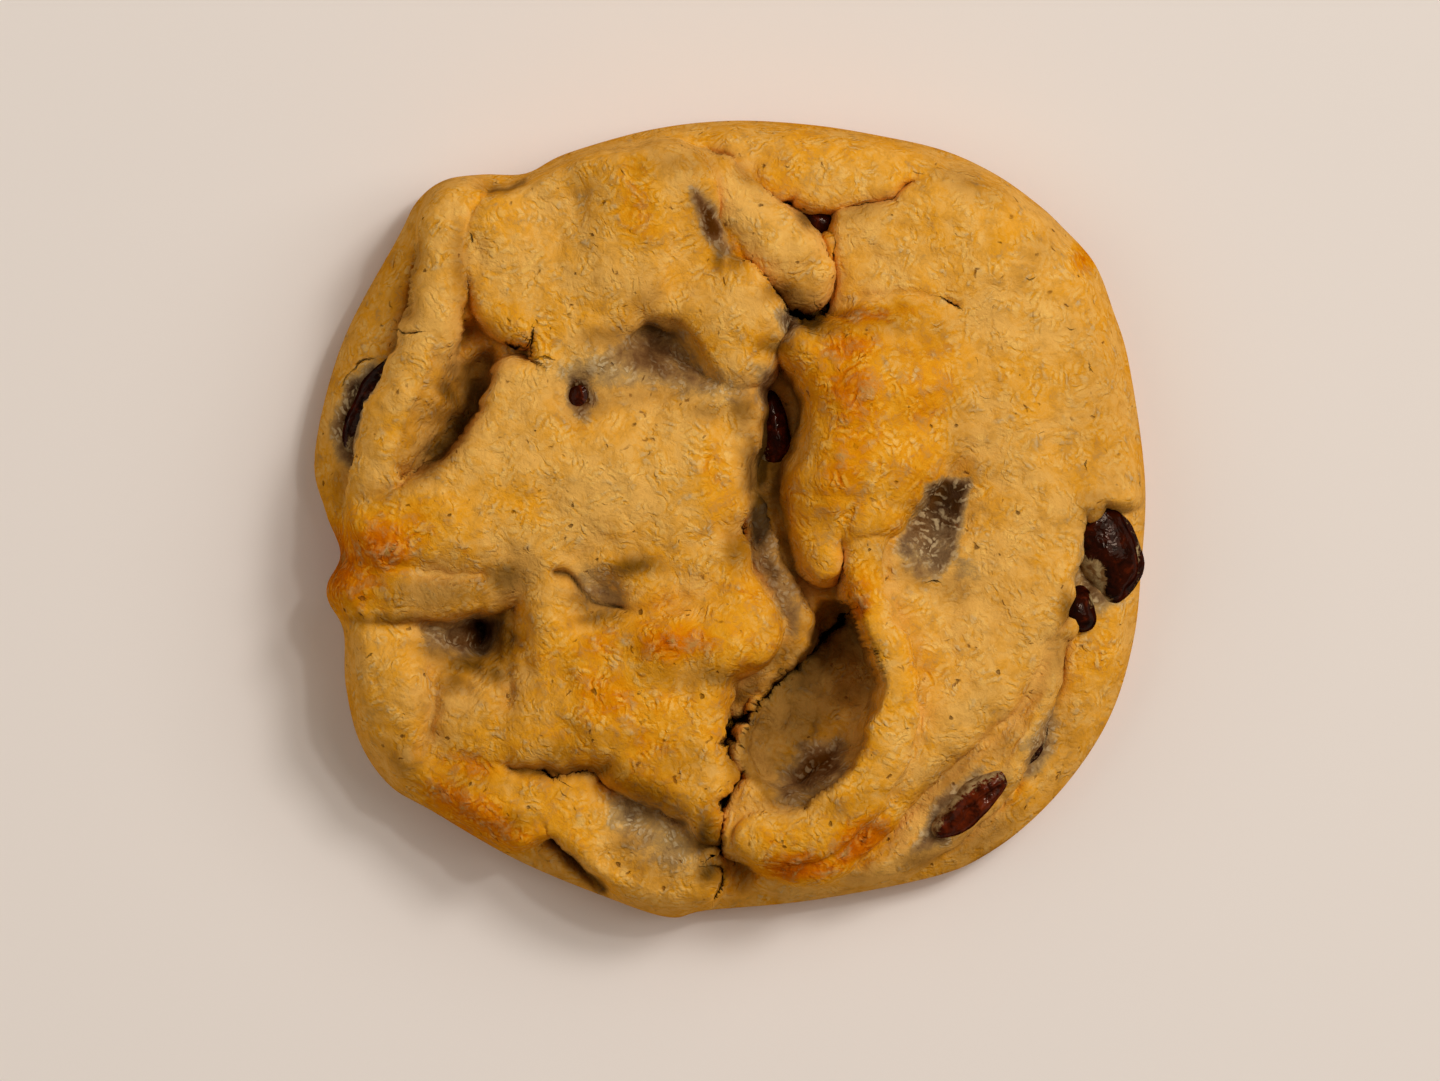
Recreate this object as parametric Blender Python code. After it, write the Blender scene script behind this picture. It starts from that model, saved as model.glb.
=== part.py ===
import math

import bmesh
import bpy
import numpy as np

# Driving dimensions, in metres
COOKIE_SPAN = 0.0836
COOKIE_HEIGHT = 0.0204
CHIP_GAP = 0.0003

# Places from here on are in millimetres on a cookie 83.6 mm wide: x to the right, y to the back. Heights
# are in 22nds of the cookie's height, up from the surface that it lies on.
UNIT = COOKIE_SPAN / 83.6
RISE = COOKIE_HEIGHT / 22.1
EQUATOR = 4.8
FOOT_ROLL = 4.2
RIM_ROLL = 4.2
BASE_EVENNESS = math.radians(24)
RIM_STEP = 0.3
SLOPE_REACH = 1.5
LIP_STEEPNESS = 2.6

# How finely the dough is drawn before it is thinned out
ROUND_STEPS = 340
TOP_STEPS = 104
FOOT_STEPS = 7
DOUGH_SHARE = 0.1
CURVE_STEPS = 6

# The outline from above, clockwise from the back: x, y and how far in the flank rounds there
OUTLINE = [
    (0, 40.1, 8), (8, 39.7, 8), (15, 38.6, 8), (21.5, 37.1, 8), (26.7, 34.7, 8), (30.8, 31.8, 7),
    (33.3, 29.5, 7), (36.6, 25.8, 7), (38.5, 21, 8), (40.1, 15.6, 9), (41.7, 4, 9), (41.3, -5, 7),
    (40.6, -11.8, 7), (38.7, -18.6, 7), (35.6, -24.2, 7), (31.2, -29.4, 6), (26.2, -33.4, 6),
    (20.5, -35.9, 5), (8, -38.3, 4), (-2.4, -39.3, 4), (-6.2, -40, 4), (-12.4, -38, 4), (-21.5, -34.2, 5),
    (-30, -29.3, 5), (-34.3, -26.7, 6), (-37.3, -22.3, 7), (-38.7, -16.5, 6), (-38.9, -11.2, 4),
    (-40.4, -8.3, 3), (-40.5, -6.4, 3), (-39.2, -3.4, 4), (-40.7, 0.8, 6), (-41.8, 6.6, 7), (-39, 17.8, 8),
    (-33.4, 28.4, 5), (-31.5, 32, 4), (-28.8, 34.1, 4), (-25, 34.7, 4), (-20.6, 34.8, 5), (-16.5, 36.8, 7),
    (-8, 39.2, 8),
]
BODY_HEIGHTS = [
    (-38, 14, 10.5), (-35, 20, 12), (-34, 10, 11.5), (-20, 0, 11), (0, 36, 11), (20, 30, 11), (32, 8, 11),
    (36, -12, 11.5), (32, -24, 10.4), (25, -31, 9.6), (15, -36, 8.6), (5, -36, 8.4), (-14, -34, 8.6),
    (-32, -20, 10), (6, 8, 9), (5, 0, 10.5), (9, -12, 9), (0, -23, 6),
]

# Folds of dough, in the order in which they lie over each other. A pillow has an edge of x, y and the
# roundness of its lip, and heights at x, y. A roll has a spine of x, y, half its width and its height.
# "drop" is how deep a lip is for its roundness, and "blend" how softly the fold runs into what it lies on.
FOLDS = {
    "back_band": {
        "edge": [(-21, 34.2, 2), (-14, 37.4, 4), (-4, 39.4, 6), (6, 39.5, 6), (15, 38.2, 6), (25.6, 34.4, 5),
                 (25, 31.6, 4), (20.5, 33, 1.5), (17.8, 33.6, 1.2), (16.2, 32, 1.6), (12.5, 31.2, 2.4),
                 (8.6, 31.2, 2.8), (4, 33, 3), (-10, 30, 3)],
        "heights": [(-15, 35.5, 10.5), (0, 36.6, 12), (9, 34.5, 14.4), (14, 34, 15), (22, 33, 14.5)],
        "drop": 0.9, "blend": 0.8,
    },
    "front_shelf": {
        "edge": [(34, -10, 2), (31.9, -18, 2), (29.4, -25.4, 2), (24, -30.2, 2.4), (18.8, -33.6, 2.4),
                 (16, -36, 2.6), (8, -38, 3), (4, -37.8, 3), (3, -34.5, 2), (14, -26, 3), (28, -13, 3)],
        "heights": [(31, -16, 13.6), (28, -21, 13), (23, -26, 12.4), (16, -33, 11.4), (8, -36.5, 9.6)],
        "drop": 0.8, "blend": 0.6,
    },
    "right_slab": {
        "edge": [(10.7, 28.9, 2), (13.5, 30.9, 2.4), (16.3, 31.6, 2.4), (17.9, 33.2, 2.4), (22, 35.2, 5),
                 (28.8, 33, 7), (35.8, 25.2, 9), (40, 15, 11), (41.5, 6.6, 11), (41.2, 1.8, 8),
                 (35.8, -0.4, 2), (34.6, -7, 2.6), (32.8, -12.4, 3.4), (30, -17.6, 4), (24.6, -20.9, 4.2),
                 (17.8, -28, 4.4), (11.8, -35.2, 4), (7.6, -36.8, 4), (1.4, -33.4, 3), (-0.7, -32.2, 2),
                 (-0.7, -29.6, 1.6), (1.9, -26, 1.4), (0.4, -23, 1.2), (3.7, -17.2, 1), (11.1, -10.6, 1.2),
                 (11.4, -5.5, 2), (12, -2.5, 2), (8.4, 10, 4), (10.7, 20.4, 2.2)],
        "heights": [(14, 27, 15.6), (15, 23, 16.2), (23, 26, 16), (30, 20, 15), (27, 9, 16.2), (35, 9, 14),
                    (24, -5, 15.4), (32, -4, 15.5), (30, -13, 15.6), (14.6, -6, 18), (17, -13, 18.8),
                    (24, -13, 16.6), (17.6, -20, 18.4), (14.6, -27, 17.6), (6, -31.5, 17), (10, -32.5, 16.4),
                    (1.6, -30, 16.4)],
        "drop": 0.85, "blend": 0.6,
    },
    "front_left": {
        "edge": [(-38.9, -10.4, 4), (-38.7, -15, 7), (-37.3, -22, 8), (-32, -28, 7.6), (-26, -31.6, 6),
                 (-20.4, -33.1, 4), (-16.5, -30, 3), (-13, -25, 4), (-18, -17, 5), (-21.6, -10, 4),
                 (-26, -9.2, 3), (-33, -9.4, 3)],
        "heights": [(-35, -13, 14), (-33.6, -18, 14.8), (-27, -20, 15.2), (-29, -25.4, 14.2),
                    (-24, -29, 14.6), (-20, -20, 15.8), (-28, -14, 13)],
        "drop": 0.9, "blend": 1.6,
    },
    "front_tongue": {
        "edge": [(-22, -25.8, 3), (-18.3, -31.4, 2), (-14.3, -34.6, 3), (-11, -38, 3.4), (-6, -40, 4),
                 (-2.6, -39, 3), (-1.2, -35.4, 1.1), (-3.4, -31.2, 2), (-8.5, -28.2, 3), (-12, -26.7, 3),
                 (-16, -25.4, 2.4)],
        "heights": [(-19, -27, 14.4), (-13.4, -31, 14.6), (-8, -32, 14.2), (-4.6, -34, 14), (-6.4, -36.6, 13)],
        "drop": 0.9, "blend": 1.4,
    },
    "torn_ledge": {
        "spine": [(2.2, 0.8, 0.9, 13.6), (2.8, -3.5, 1.2, 13.8), (4.6, -7, 1.3, 14), (6.6, -10.6, 1.4, 14.4),
                  (6.4, -12.8, 1.6, 13.8), (3, -15.6, 1.5, 13.4), (0.6, -18.6, 1.2, 11.5)],
        "drop": 1, "blend": 0.5,
    },
    "front_middle": {
        "edge": [(-20.6, -6.6, 3), (-16.5, -5.2, 3), (-8, -3.8, 4), (1, -1.4, 2.4), (3.7, -6.7, 2.6),
                 (6.9, -11.4, 3.6), (4.4, -14.5, 3.6), (-0.2, -16.6, 3.4), (-0.8, -20.5, 3.4),
                 (0.8, -25.7, 2.4), (-0.9, -29, 2.2), (-2, -32.4, 2), (-5.2, -29.6, 3), (-10, -27.1, 3.6),
                 (-14, -25, 3.6), (-19, -24.8, 4), (-22, -23.5, 6), (-23.6, -19, 6), (-22.2, -12, 4.4)],
        "heights": [(-18, -8, 16.6), (-19, -15, 15.8), (-12, -13.6, 18.2), (-6, -12.6, 20), (0, -12, 19.8),
                    (4, -11.4, 19), (-13, -19.6, 18.6), (-3, -19, 18), (-3, -26, 17.4), (-17, -22, 17),
                    (-6, -7, 17), (-14, -8, 16)],
        "drop": 0.9, "blend": 1.6,
    },
    "plateau": {
        "edge": [(-19.4, 15.6, 2), (-23.4, 15, 3.4), (-25.4, 10, 3.6), (-28.2, 5.9, 3.4), (-32.6, 3.9, 3),
                 (-37.3, 0.9, 3.4), (-39, -4, 3.4), (-40.5, -8, 3.2), (-38.4, -10, 4.5), (-31, -10.3, 5),
                 (-24.3, -9.3, 4.6), (-20.5, -5.9, 3), (-14, -6, 3), (-6, -4.6, 5), (0.4, -2.2, 3.4),
                 (1.6, 0.8, 3), (2.9, 5, 3), (3, 12.8, 3), (-3, 18, 5), (-10, 20, 5), (-18.5, 18, 3)],
        "heights": [(-37.4, -5.6, 14.6), (-34, -1.6, 17), (-27, 1, 18), (-19, 8, 18.6), (-21.4, 12.4, 18),
                    (-12, 3, 19), (-4, 7, 18.6), (-4, -0.6, 19), (-14, 15, 17), (-7, 15, 16),
                    (-0.6, 10.6, 17.6)],
        "drop": 0.9, "blend": 1.1,
    },
    "left_roll": {
        "spine": [(-27.4, 32, 2.8, 16), (-28.2, 29.8, 3.2, 17.4), (-28.8, 25.5, 2.3, 17.8),
                  (-29.3, 21.5, 2.7, 18), (-30.1, 17.5, 3.4, 18), (-31.9, 13, 3.7, 18), (-33.8, 8, 3.5, 17.4),
                  (-34.8, 4, 3, 16.4), (-35.6, 1.4, 2, 15)],
        "drop": 1.2, "blend": 0.8,
    },
    "back_left": {
        "edge": [(-24, 32.3, 3), (-19, 34.4, 3.4), (-14, 35.5, 3.6), (-9, 36.9, 3.6), (-3.2, 36.4, 3.4),
                 (-2.4, 32.6, 2.6), (-0.3, 26.6, 2.6), (3.2, 24.6, 2.2), (5.8, 20.8, 3), (4.3, 17.6, 3.4),
                 (4, 15.4, 3.4), (0.7, 12.8, 3.6), (-3.7, 16.2, 4), (-6, 18.7, 4), (-9, 19.2, 5),
                 (-15, 16, 6), (-19, 15.8, 2), (-20, 20.2, 1), (-22, 18.4, 2.4), (-24.6, 18.8, 4),
                 (-26.2, 24, 3.6), (-26, 29.6, 3)],
        "heights": [(-21.6, 28, 18), (-16, 29, 18), (-9, 32.6, 20.4), (-6, 29, 19.4), (-10, 25, 19),
                    (-18, 22, 18), (-0.4, 21, 20), (1, 16.4, 19.4), (-4, 24, 19), (-15, 18.6, 17.4)],
        "drop": 0.9, "blend": 1.2,
    },
    "finger": {
        "spine": [(-3.2, 35.4, 2, 16.6), (0.4, 32.4, 3, 17.6), (3.4, 29.2, 3.4, 18.2), (6, 26.6, 3.7, 18.4),
                  (7.3, 25, 3.4, 17.6)],
        "drop": 0.9, "blend": 0.8,
    },
    "brown_dome": {
        "edge": [(4.2, 17, 4), (6.3, 19, 4), (11, 19.5, 3.4), (15.5, 21.6, 4), (19, 22.4, 6), (24, 19.6, 9),
                 (26.2, 13, 10), (23, 6.6, 6), (19.2, 2.6, 3), (16.6, -3, 3), (14, -3.6, 4), (11.6, -7.6, 2.4),
                 (9.8, -11, 2.6), (7.2, -6, 3.6), (5.4, 0, 5.4), (4.8, 6, 7.4), (4.4, 12, 7)],
        "heights": [(13, 13, 22.4), (12.4, 5, 21.8), (17, 13, 20.6), (20, 9, 18.8), (8.8, -4, 17.8),
                    (13, -1.6, 19), (10.6, 17, 20.4), (18, 18.4, 18), (16, 2, 20)],
        "drop": 0.9, "blend": 2.4,
    },
}

# Hollows pressed into the folds: an edge of x, y and the roundness of the wall, and heights of the floor
HOLLOWS = {
    "deep_pocket": {
        "edge": [(11.7, -9.2, 1.5), (13.3, -11.2, 2), (14.6, -16, 2.8), (14.2, -20.5, 4), (12.9, -24, 4),
                 (10.6, -27.2, 3), (7.4, -28.9, 2), (4, -28.7, 1.5), (1.5, -25, 1.2), (1.1, -22, 1.2),
                 (2.3, -19.2, 1.2), (8.6, -13.4, 1.2)],
        "heights": [(3, -20, 14), (2, -24, 14.2), (7, -20, 12), (11, -16, 9), (11.3, -12, 7.5), (8, -25, 11.4),
                    (4.2, -27.5, 14.4), (12, -21, 9.4)],
        "blend": 1.2,
    },
    "left_pit": {
        "edge": [(-31, -10, 1), (-27, -9.4, 1), (-24.5, -8.6, 1.4), (-22.3, -9, 1.6), (-21.4, -11.5, 1.8),
                 (-21.8, -14.4, 2), (-24.5, -15.4, 2.4), (-28, -14.4, 3), (-31.6, -12.6, 2)],
        "heights": [(-24.8, -10.8, 8.6), (-23.6, -13, 9.6), (-27.4, -11.6, 11.2), (-30, -11.6, 12.8)],
        "blend": 1.4,
    },
    "middle_pit": {
        "edge": [(-15.6, -6.4, 1), (-10.4, -5.4, 1.2), (-8.4, -6.2, 2), (-11.4, -9.4, 1.4), (-13.6, -9.6, 1.2)],
        "heights": [(-12.8, -8, 13.6), (-14.2, -7.2, 13.8), (-10.5, -6.6, 15.2)],
        "blend": 1.2,
    },
    "arch_pit": {
        "edge": [(-12.6, 16.2, 3), (-11, 19, 3), (-8.4, 20.6, 2.4), (-5.6, 20, 2.2), (-1.8, 15, 2),
                 (-7, 14, 3)],
        "heights": [(-7.2, 18, 14), (-4.6, 16.4, 14.6), (-10, 16.6, 15.4), (-3, 14.4, 15.4)],
        "blend": 1.4,
    },
}

# Soft swellings and dips: x, y, half width, half depth, turn in degrees, height
SWELLS = [
    (-14.8, 30.5, 2.2, 5, 0, -1), (20.8, -0.6, 2.6, 4.4, -15, -1.6), (-29.6, -21, 1.6, 3.6, 0, -0.6),
    (-15.4, 12.4, 1.4, 2, 0, -1.2), (-9.5, -29.6, 2.4, 2, -20, -0.7), (-30, -1, 6, 2, 10, 0.4),
]

# Creases: a line of x, y, with its depth and half its width
CREASES = [
    {"line": [(12.2, 0.4), (11.6, -2.6), (11.3, -5.6), (11.5, -8.6)], "depth": 2, "width": 1.2},
    {"line": [(-33, -4.4), (-25, -5.8), (-17, -5.2)], "depth": 1.1, "width": 1},
]

# Chocolate chips that show. "show" is how far one stands out of the dough, and "turn" the heading of its
# length in degrees from +x.
CHIPS = {
    "chip_right": {"at": (38.4, -3.1), "length": 11, "width": 6.6, "thick": 5.4, "turn": 100, "show": 1.1},
    "chip_right_low": {"at": (34.9, -9.4), "length": 4.8, "width": 3, "thick": 3.4, "turn": 45, "show": 0.7},
    "chip_front_right": {"at": (24.2, -28.7), "length": 9.6, "width": 4.4, "thick": 4, "turn": 40, "show": 0.9},
    "chip_front_small": {"at": (31.1, -22.8), "length": 5.4, "width": 2.8, "thick": 3, "turn": 62, "show": 0.6},
    "chip_crevice": {"at": (4.3, 9.3), "length": 7.4, "width": 3.4, "thick": 4.2, "turn": 100, "show": 1.6},
    "chip_back": {"at": (8.6, 30.4), "length": 5.2, "width": 3.2, "thick": 3.4, "turn": 5, "show": 1.2},
    "chip_left": {"at": (-37.2, 10.6), "length": 11.6, "width": 4.4, "thick": 4, "turn": 72, "show": 0.8},
    "chip_middle": {"at": (-15, 12.3), "length": 4.6, "width": 2.9, "thick": 3.2, "turn": 95, "show": 0.6},
}
CHIP_ROUND = 12
CHIP_RINGS = 8


def clear_scene():
    for ob in list(bpy.data.objects):
        bpy.data.objects.remove(ob, do_unlink=True)


def new_collection(name):
    collection = bpy.data.collections.new(name)
    bpy.context.scene.collection.children.link(collection)
    return collection


def make_material(name, colour, roughness):
    material = bpy.data.materials.new(name)
    material.use_nodes = True
    shader = material.node_tree.nodes["Principled BSDF"]
    shader.inputs["Base Color"].default_value = (*colour, 1)
    shader.inputs["Roughness"].default_value = roughness
    shader.inputs["Metallic"].default_value = 0
    return material


def smooth_curve(points, closed):
    """A smooth curve through the points, as short straight spans."""
    p = np.array(points, float)
    if closed:
        before, after, beyond = np.roll(p, 1, 0), np.roll(p, -1, 0), np.roll(p, -2, 0)
    else:
        p = np.vstack([2 * p[0] - p[1], p, 2 * p[-1] - p[-2]])
        before, p, after, beyond = p[:-3], p[1:-2], p[2:-1], p[3:]
    t = np.linspace(0, 1, CURVE_STEPS, endpoint=False)[:, None, None]
    bend = 2 * before - 5 * p + 4 * after - beyond
    twist = 3 * p - before - 3 * after + beyond
    curve = p + 0.5 * ((after - before) * t + bend * t**2 + twist * t**3)
    curve = curve.transpose(1, 0, 2).reshape(-1, p.shape[1])
    return curve if closed else np.vstack([curve, after[-1]])


def nearest_on(x, y, curve, closed):
    """Distance to a curve, and the curve's own values at the nearest place."""
    starts = curve if closed else curve[:-1]
    ends = np.roll(curve, -1, 0) if closed else curve[1:]
    nearest = np.full(x.shape, np.inf)
    values = np.zeros(x.shape + (curve.shape[1],))
    for a, b in zip(starts, ends):
        dx, dy = b[:2] - a[:2]
        t = np.clip(((x - a[0]) * dx + (y - a[1]) * dy) / (dx * dx + dy * dy), 0, 1)
        distance = np.hypot(x - a[0] - t * dx, y - a[1] - t * dy)
        nearer = distance < nearest
        nearest = np.where(nearer, distance, nearest)
        values = np.where(nearer[..., None], a + t[..., None] * (b - a), values)
    return nearest, values


def is_inside(x, y, curve):
    inside = np.zeros(x.shape, bool)
    for a, b in zip(curve, np.roll(curve, -1, 0)):
        spans = (a[1] > y) != (b[1] > y)
        if a[1] != b[1]:
            inside ^= spans & (x < (b[0] - a[0]) * (y - a[1]) / (b[1] - a[1]) + a[0])
    return inside


def depth_inside(x, y, edge):
    """How far inside an edge a point is (less than 0 outside), and the roundness of the edge there."""
    curve = smooth_curve(edge, True)
    distance, values = nearest_on(x, y, curve, True)
    return np.where(is_inside(x, y, curve), distance, -distance), values[..., 2]


def height_between(x, y, heights, reach):
    """A smooth surface through a few known heights."""
    total, weights = np.zeros_like(x), np.zeros_like(x)
    for hx, hy, hz in heights:
        weight = 1 / (((x - hx) ** 2 + (y - hy) ** 2) / reach**2 + 0.25) ** 2
        total += weight * hz
        weights += weight
    return total / weights


def lip_drop(depth, roundness):
    """How far a rounded lip lies below its top at a depth inside its edge. Outside it falls away steeply."""
    t = np.clip(depth / roundness, 0, 1)
    return roundness * (1 - np.sqrt(1 - (1 - t) ** 2)) + LIP_STEEPNESS * np.maximum(-depth, 0)


def smooth_max(a, b, softness):
    h = np.clip(0.5 + 0.5 * (a - b) / softness, 0, 1)
    return b + (a - b) * h + softness * h * (1 - h)


def fold_height(x, y, fold):
    if "spine" in fold:
        distance, values = nearest_on(x, y, smooth_curve(fold["spine"], False), False)
        half_width, top = values[..., 2], values[..., 3]
        return top - fold["drop"] * lip_drop(half_width - distance, half_width)
    depth, roundness = depth_inside(x, y, fold["edge"])
    return height_between(x, y, fold["heights"], 5) - fold["drop"] * lip_drop(depth, roundness)


def surface_height(x, y):
    """Height of the dough's upper surface."""
    rim_depth, roundness = depth_inside(x, y, OUTLINE)
    flank = np.sqrt(1 - (1 - np.clip(rim_depth / roundness, 0, 1)) ** 2)
    z = EQUATOR + (height_between(x, y, BODY_HEIGHTS, 5) - EQUATOR) * flank
    for fold in FOLDS.values():
        z = smooth_max(z, fold_height(x, y, fold), fold["blend"])
    for hollow in HOLLOWS.values():
        depth, roundness = depth_inside(x, y, hollow["edge"])
        floor = height_between(x, y, hollow["heights"], 2.5) + 1.5 * lip_drop(depth, roundness)
        z = -smooth_max(-z, -floor, hollow["blend"])
    for sx, sy, half_width, half_depth, turn, height in SWELLS:
        c, s = math.cos(math.radians(turn)), math.sin(math.radians(turn))
        across = ((x - sx) * c + (y - sy) * s) / half_width
        along = ((y - sy) * c - (x - sx) * s) / half_depth
        z = z + height * np.exp(-(across**2) - along**2)
    for crease in CREASES:
        distance, _ = nearest_on(x, y, smooth_curve(crease["line"], False), False)
        z = z - crease["depth"] * np.exp(-((distance / crease["width"]) ** 2))
    rim = np.sqrt(1 - (1 - np.clip(rim_depth / RIM_ROLL, 0, 1)) ** 2)
    return EQUATOR + (np.maximum(z, EQUATOR + RIM_STEP) - EQUATOR) * rim


def outline_radius(angle):
    """How far the outline is from the middle in each direction."""
    curve = smooth_curve(OUTLINE, True)
    angles = np.arctan2(curve[:, 1], curve[:, 0])
    order = np.argsort(angles)
    return np.interp(angle, angles[order], np.hypot(curve[order, 0], curve[order, 1]), period=2 * math.pi)


def base_radius(angle):
    """The base's edge, which is more even than the outline above it and tucked in by the foot's roll."""
    turns = np.linspace(-BASE_EVENNESS, BASE_EVENNESS, 9)
    return np.mean([outline_radius(angle + turn) for turn in turns], 0) - FOOT_ROLL


def outline_middle():
    """The middle of the outline's box, which is where the part has its origin."""
    curve = smooth_curve(OUTLINE, True)[:, :2]
    return (curve.min(0) + curve.max(0)) / 2


def link_mesh(bm, name, collection, material):
    mesh = bpy.data.meshes.new(name)
    bm.to_mesh(mesh)
    bm.free()
    mesh.shade_smooth()
    mesh.materials.append(material)
    ob = bpy.data.objects.new(name, mesh)
    across, deep = outline_middle() * UNIT
    ob.location = (-across, -deep, 0)
    collection.objects.link(ob)
    return ob


def make_dough(collection, material):
    """A ball whose upper half is drawn out to the folded top, and whose lower half to the flat foot."""
    rings = TOP_STEPS + FOOT_STEPS
    bm = bmesh.new()
    bmesh.ops.create_uvsphere(bm, u_segments=ROUND_STEPS, v_segments=rings, radius=1)
    ball = np.array([v.co for v in bm.verts])
    ring = np.rint(np.arccos(np.clip(ball[:, 2], -1, 1)) / math.pi * rings)
    angle = np.arctan2(ball[:, 1], ball[:, 0])
    radius = outline_radius(angle)

    # On top, the rings spread evenly to the outline, with the last ones closer together on the rim
    share = np.clip(ring / TOP_STEPS, 0, 1)
    share = 1 - (1 - share) ** 1.15
    x, y = share * radius * np.cos(angle), share * radius * np.sin(angle)
    z = surface_height(x, y)

    # Below it, they go round the foot and end at the middle of the base
    down = np.clip((ring - TOP_STEPS) / (FOOT_STEPS - 1), 0, 1) * math.pi / 2
    inwards = 1 - (1 - base_radius(angle) / radius) * (1 - np.cos(down))
    below = ring > TOP_STEPS
    x, y = np.where(below, x * inwards, x), np.where(below, y * inwards, y)
    z = np.where(below, EQUATOR * (1 - np.sin(down)), z)
    is_base_middle = ring == rings
    x, y = np.where(is_base_middle, 0, x), np.where(is_base_middle, 0, y)

    for v, place in zip(bm.verts, np.stack([x * UNIT, y * UNIT, z * RISE], 1)):
        v.co = place
    ob = link_mesh(bm, "dough", collection, material)
    thin_out = ob.modifiers.new("thin out", "DECIMATE")
    thin_out.ratio = DOUGH_SHARE
    return ob


def surface_frame(at, turn):
    """A place on the dough, with the way out of it and the heading of the turn along it."""
    x = at[0] + SLOPE_REACH * np.array([0, 1, -1, 0, 0])
    y = at[1] + SLOPE_REACH * np.array([0, 0, 0, 1, -1])
    z = surface_height(x, y) * RISE / UNIT
    out = np.array([z[2] - z[1], z[4] - z[3], 2 * SLOPE_REACH])
    out /= np.linalg.norm(out)
    heading = np.array([math.cos(math.radians(turn)), math.sin(math.radians(turn)), 0])
    heading -= out * heading.dot(out)
    heading /= np.linalg.norm(heading)
    return np.array([at[0], at[1], z[0]]), out, heading


def make_chip(name, chip, grow, collection, material):
    """A rounded drop of chocolate, fuller at one end, that lies in the dough and shows above it."""
    place, out, heading = surface_frame(chip["at"], chip["turn"])
    side = np.cross(out, heading)
    middle = place - out * (chip["thick"] / 2 - chip["show"])
    bm = bmesh.new()
    bmesh.ops.create_uvsphere(bm, u_segments=CHIP_ROUND, v_segments=CHIP_RINGS, radius=1)
    for v in bm.verts:
        fullness = 1 - 0.14 * v.co.x
        along = v.co.x * (chip["length"] / 2 + grow)
        across = v.co.y * (chip["width"] / 2 + grow) * fullness
        up = v.co.z * (chip["thick"] / 2 + grow) * fullness
        v.co = (middle + along * heading + across * side + up * out) * UNIT
    return link_mesh(bm, name, collection, material)


clear_scene()
cookie = new_collection("chocolate_chip_cookie")
cutters = new_collection("chip_beds")
dough_material = make_material("baked_dough", (0.57, 0.33, 0.1), 0.55)
chocolate_material = make_material("chocolate", (0.045, 0.012, 0.007), 0.3)

dough = make_dough(cookie, dough_material)
for chip_name, chip in CHIPS.items():
    make_chip(chip_name, chip, 0, cookie, chocolate_material)
    bed = make_chip("bed_" + chip_name, chip, CHIP_GAP / UNIT, cutters, chocolate_material)
    bed.hide_render = True
    bed.display_type = "WIRE"

beds = dough.modifiers.new("chip beds", "BOOLEAN")
beds.operand_type = "COLLECTION"
beds.collection = cutters
beds.operation = "DIFFERENCE"
beds.solver = "EXACT"
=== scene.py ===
import math
from functools import partial

import bpy
import numpy as np
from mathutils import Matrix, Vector, noise


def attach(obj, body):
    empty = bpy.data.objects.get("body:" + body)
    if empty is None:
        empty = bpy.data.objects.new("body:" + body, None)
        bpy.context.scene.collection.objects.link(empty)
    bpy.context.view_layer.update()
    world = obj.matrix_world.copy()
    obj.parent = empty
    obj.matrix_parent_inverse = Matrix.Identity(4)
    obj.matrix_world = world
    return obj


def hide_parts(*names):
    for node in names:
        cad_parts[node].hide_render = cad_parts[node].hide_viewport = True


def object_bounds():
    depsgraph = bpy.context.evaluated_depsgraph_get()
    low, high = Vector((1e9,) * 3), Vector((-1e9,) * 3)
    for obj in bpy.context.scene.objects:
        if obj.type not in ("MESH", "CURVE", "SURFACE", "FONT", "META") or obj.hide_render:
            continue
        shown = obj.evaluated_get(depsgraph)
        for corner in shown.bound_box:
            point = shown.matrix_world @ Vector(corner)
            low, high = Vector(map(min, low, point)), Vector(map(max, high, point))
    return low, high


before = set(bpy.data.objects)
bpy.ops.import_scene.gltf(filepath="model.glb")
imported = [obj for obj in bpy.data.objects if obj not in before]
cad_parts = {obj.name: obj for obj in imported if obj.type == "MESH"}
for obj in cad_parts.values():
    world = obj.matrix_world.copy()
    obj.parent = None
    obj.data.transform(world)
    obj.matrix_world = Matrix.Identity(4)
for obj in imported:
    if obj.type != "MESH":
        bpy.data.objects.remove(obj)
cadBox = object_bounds()
print("frame loaded")

# Places are in millimetres on a cookie 83.6 mm wide, x to the right and y to the back, and heights are in
# parts of 1/22.1 of its height. The frame's box gives what both are in metres.
mm = (cadBox[1].x - cadBox[0].x) / 83.6
rise = (cadBox[1].z - cadBox[0].z) / 22.1
shift = (0.04, -0.04)      # from the drawing's origin to the middle of the cookie


# Shape of the dough: the same folds as in the solid, drawn finer

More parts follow.
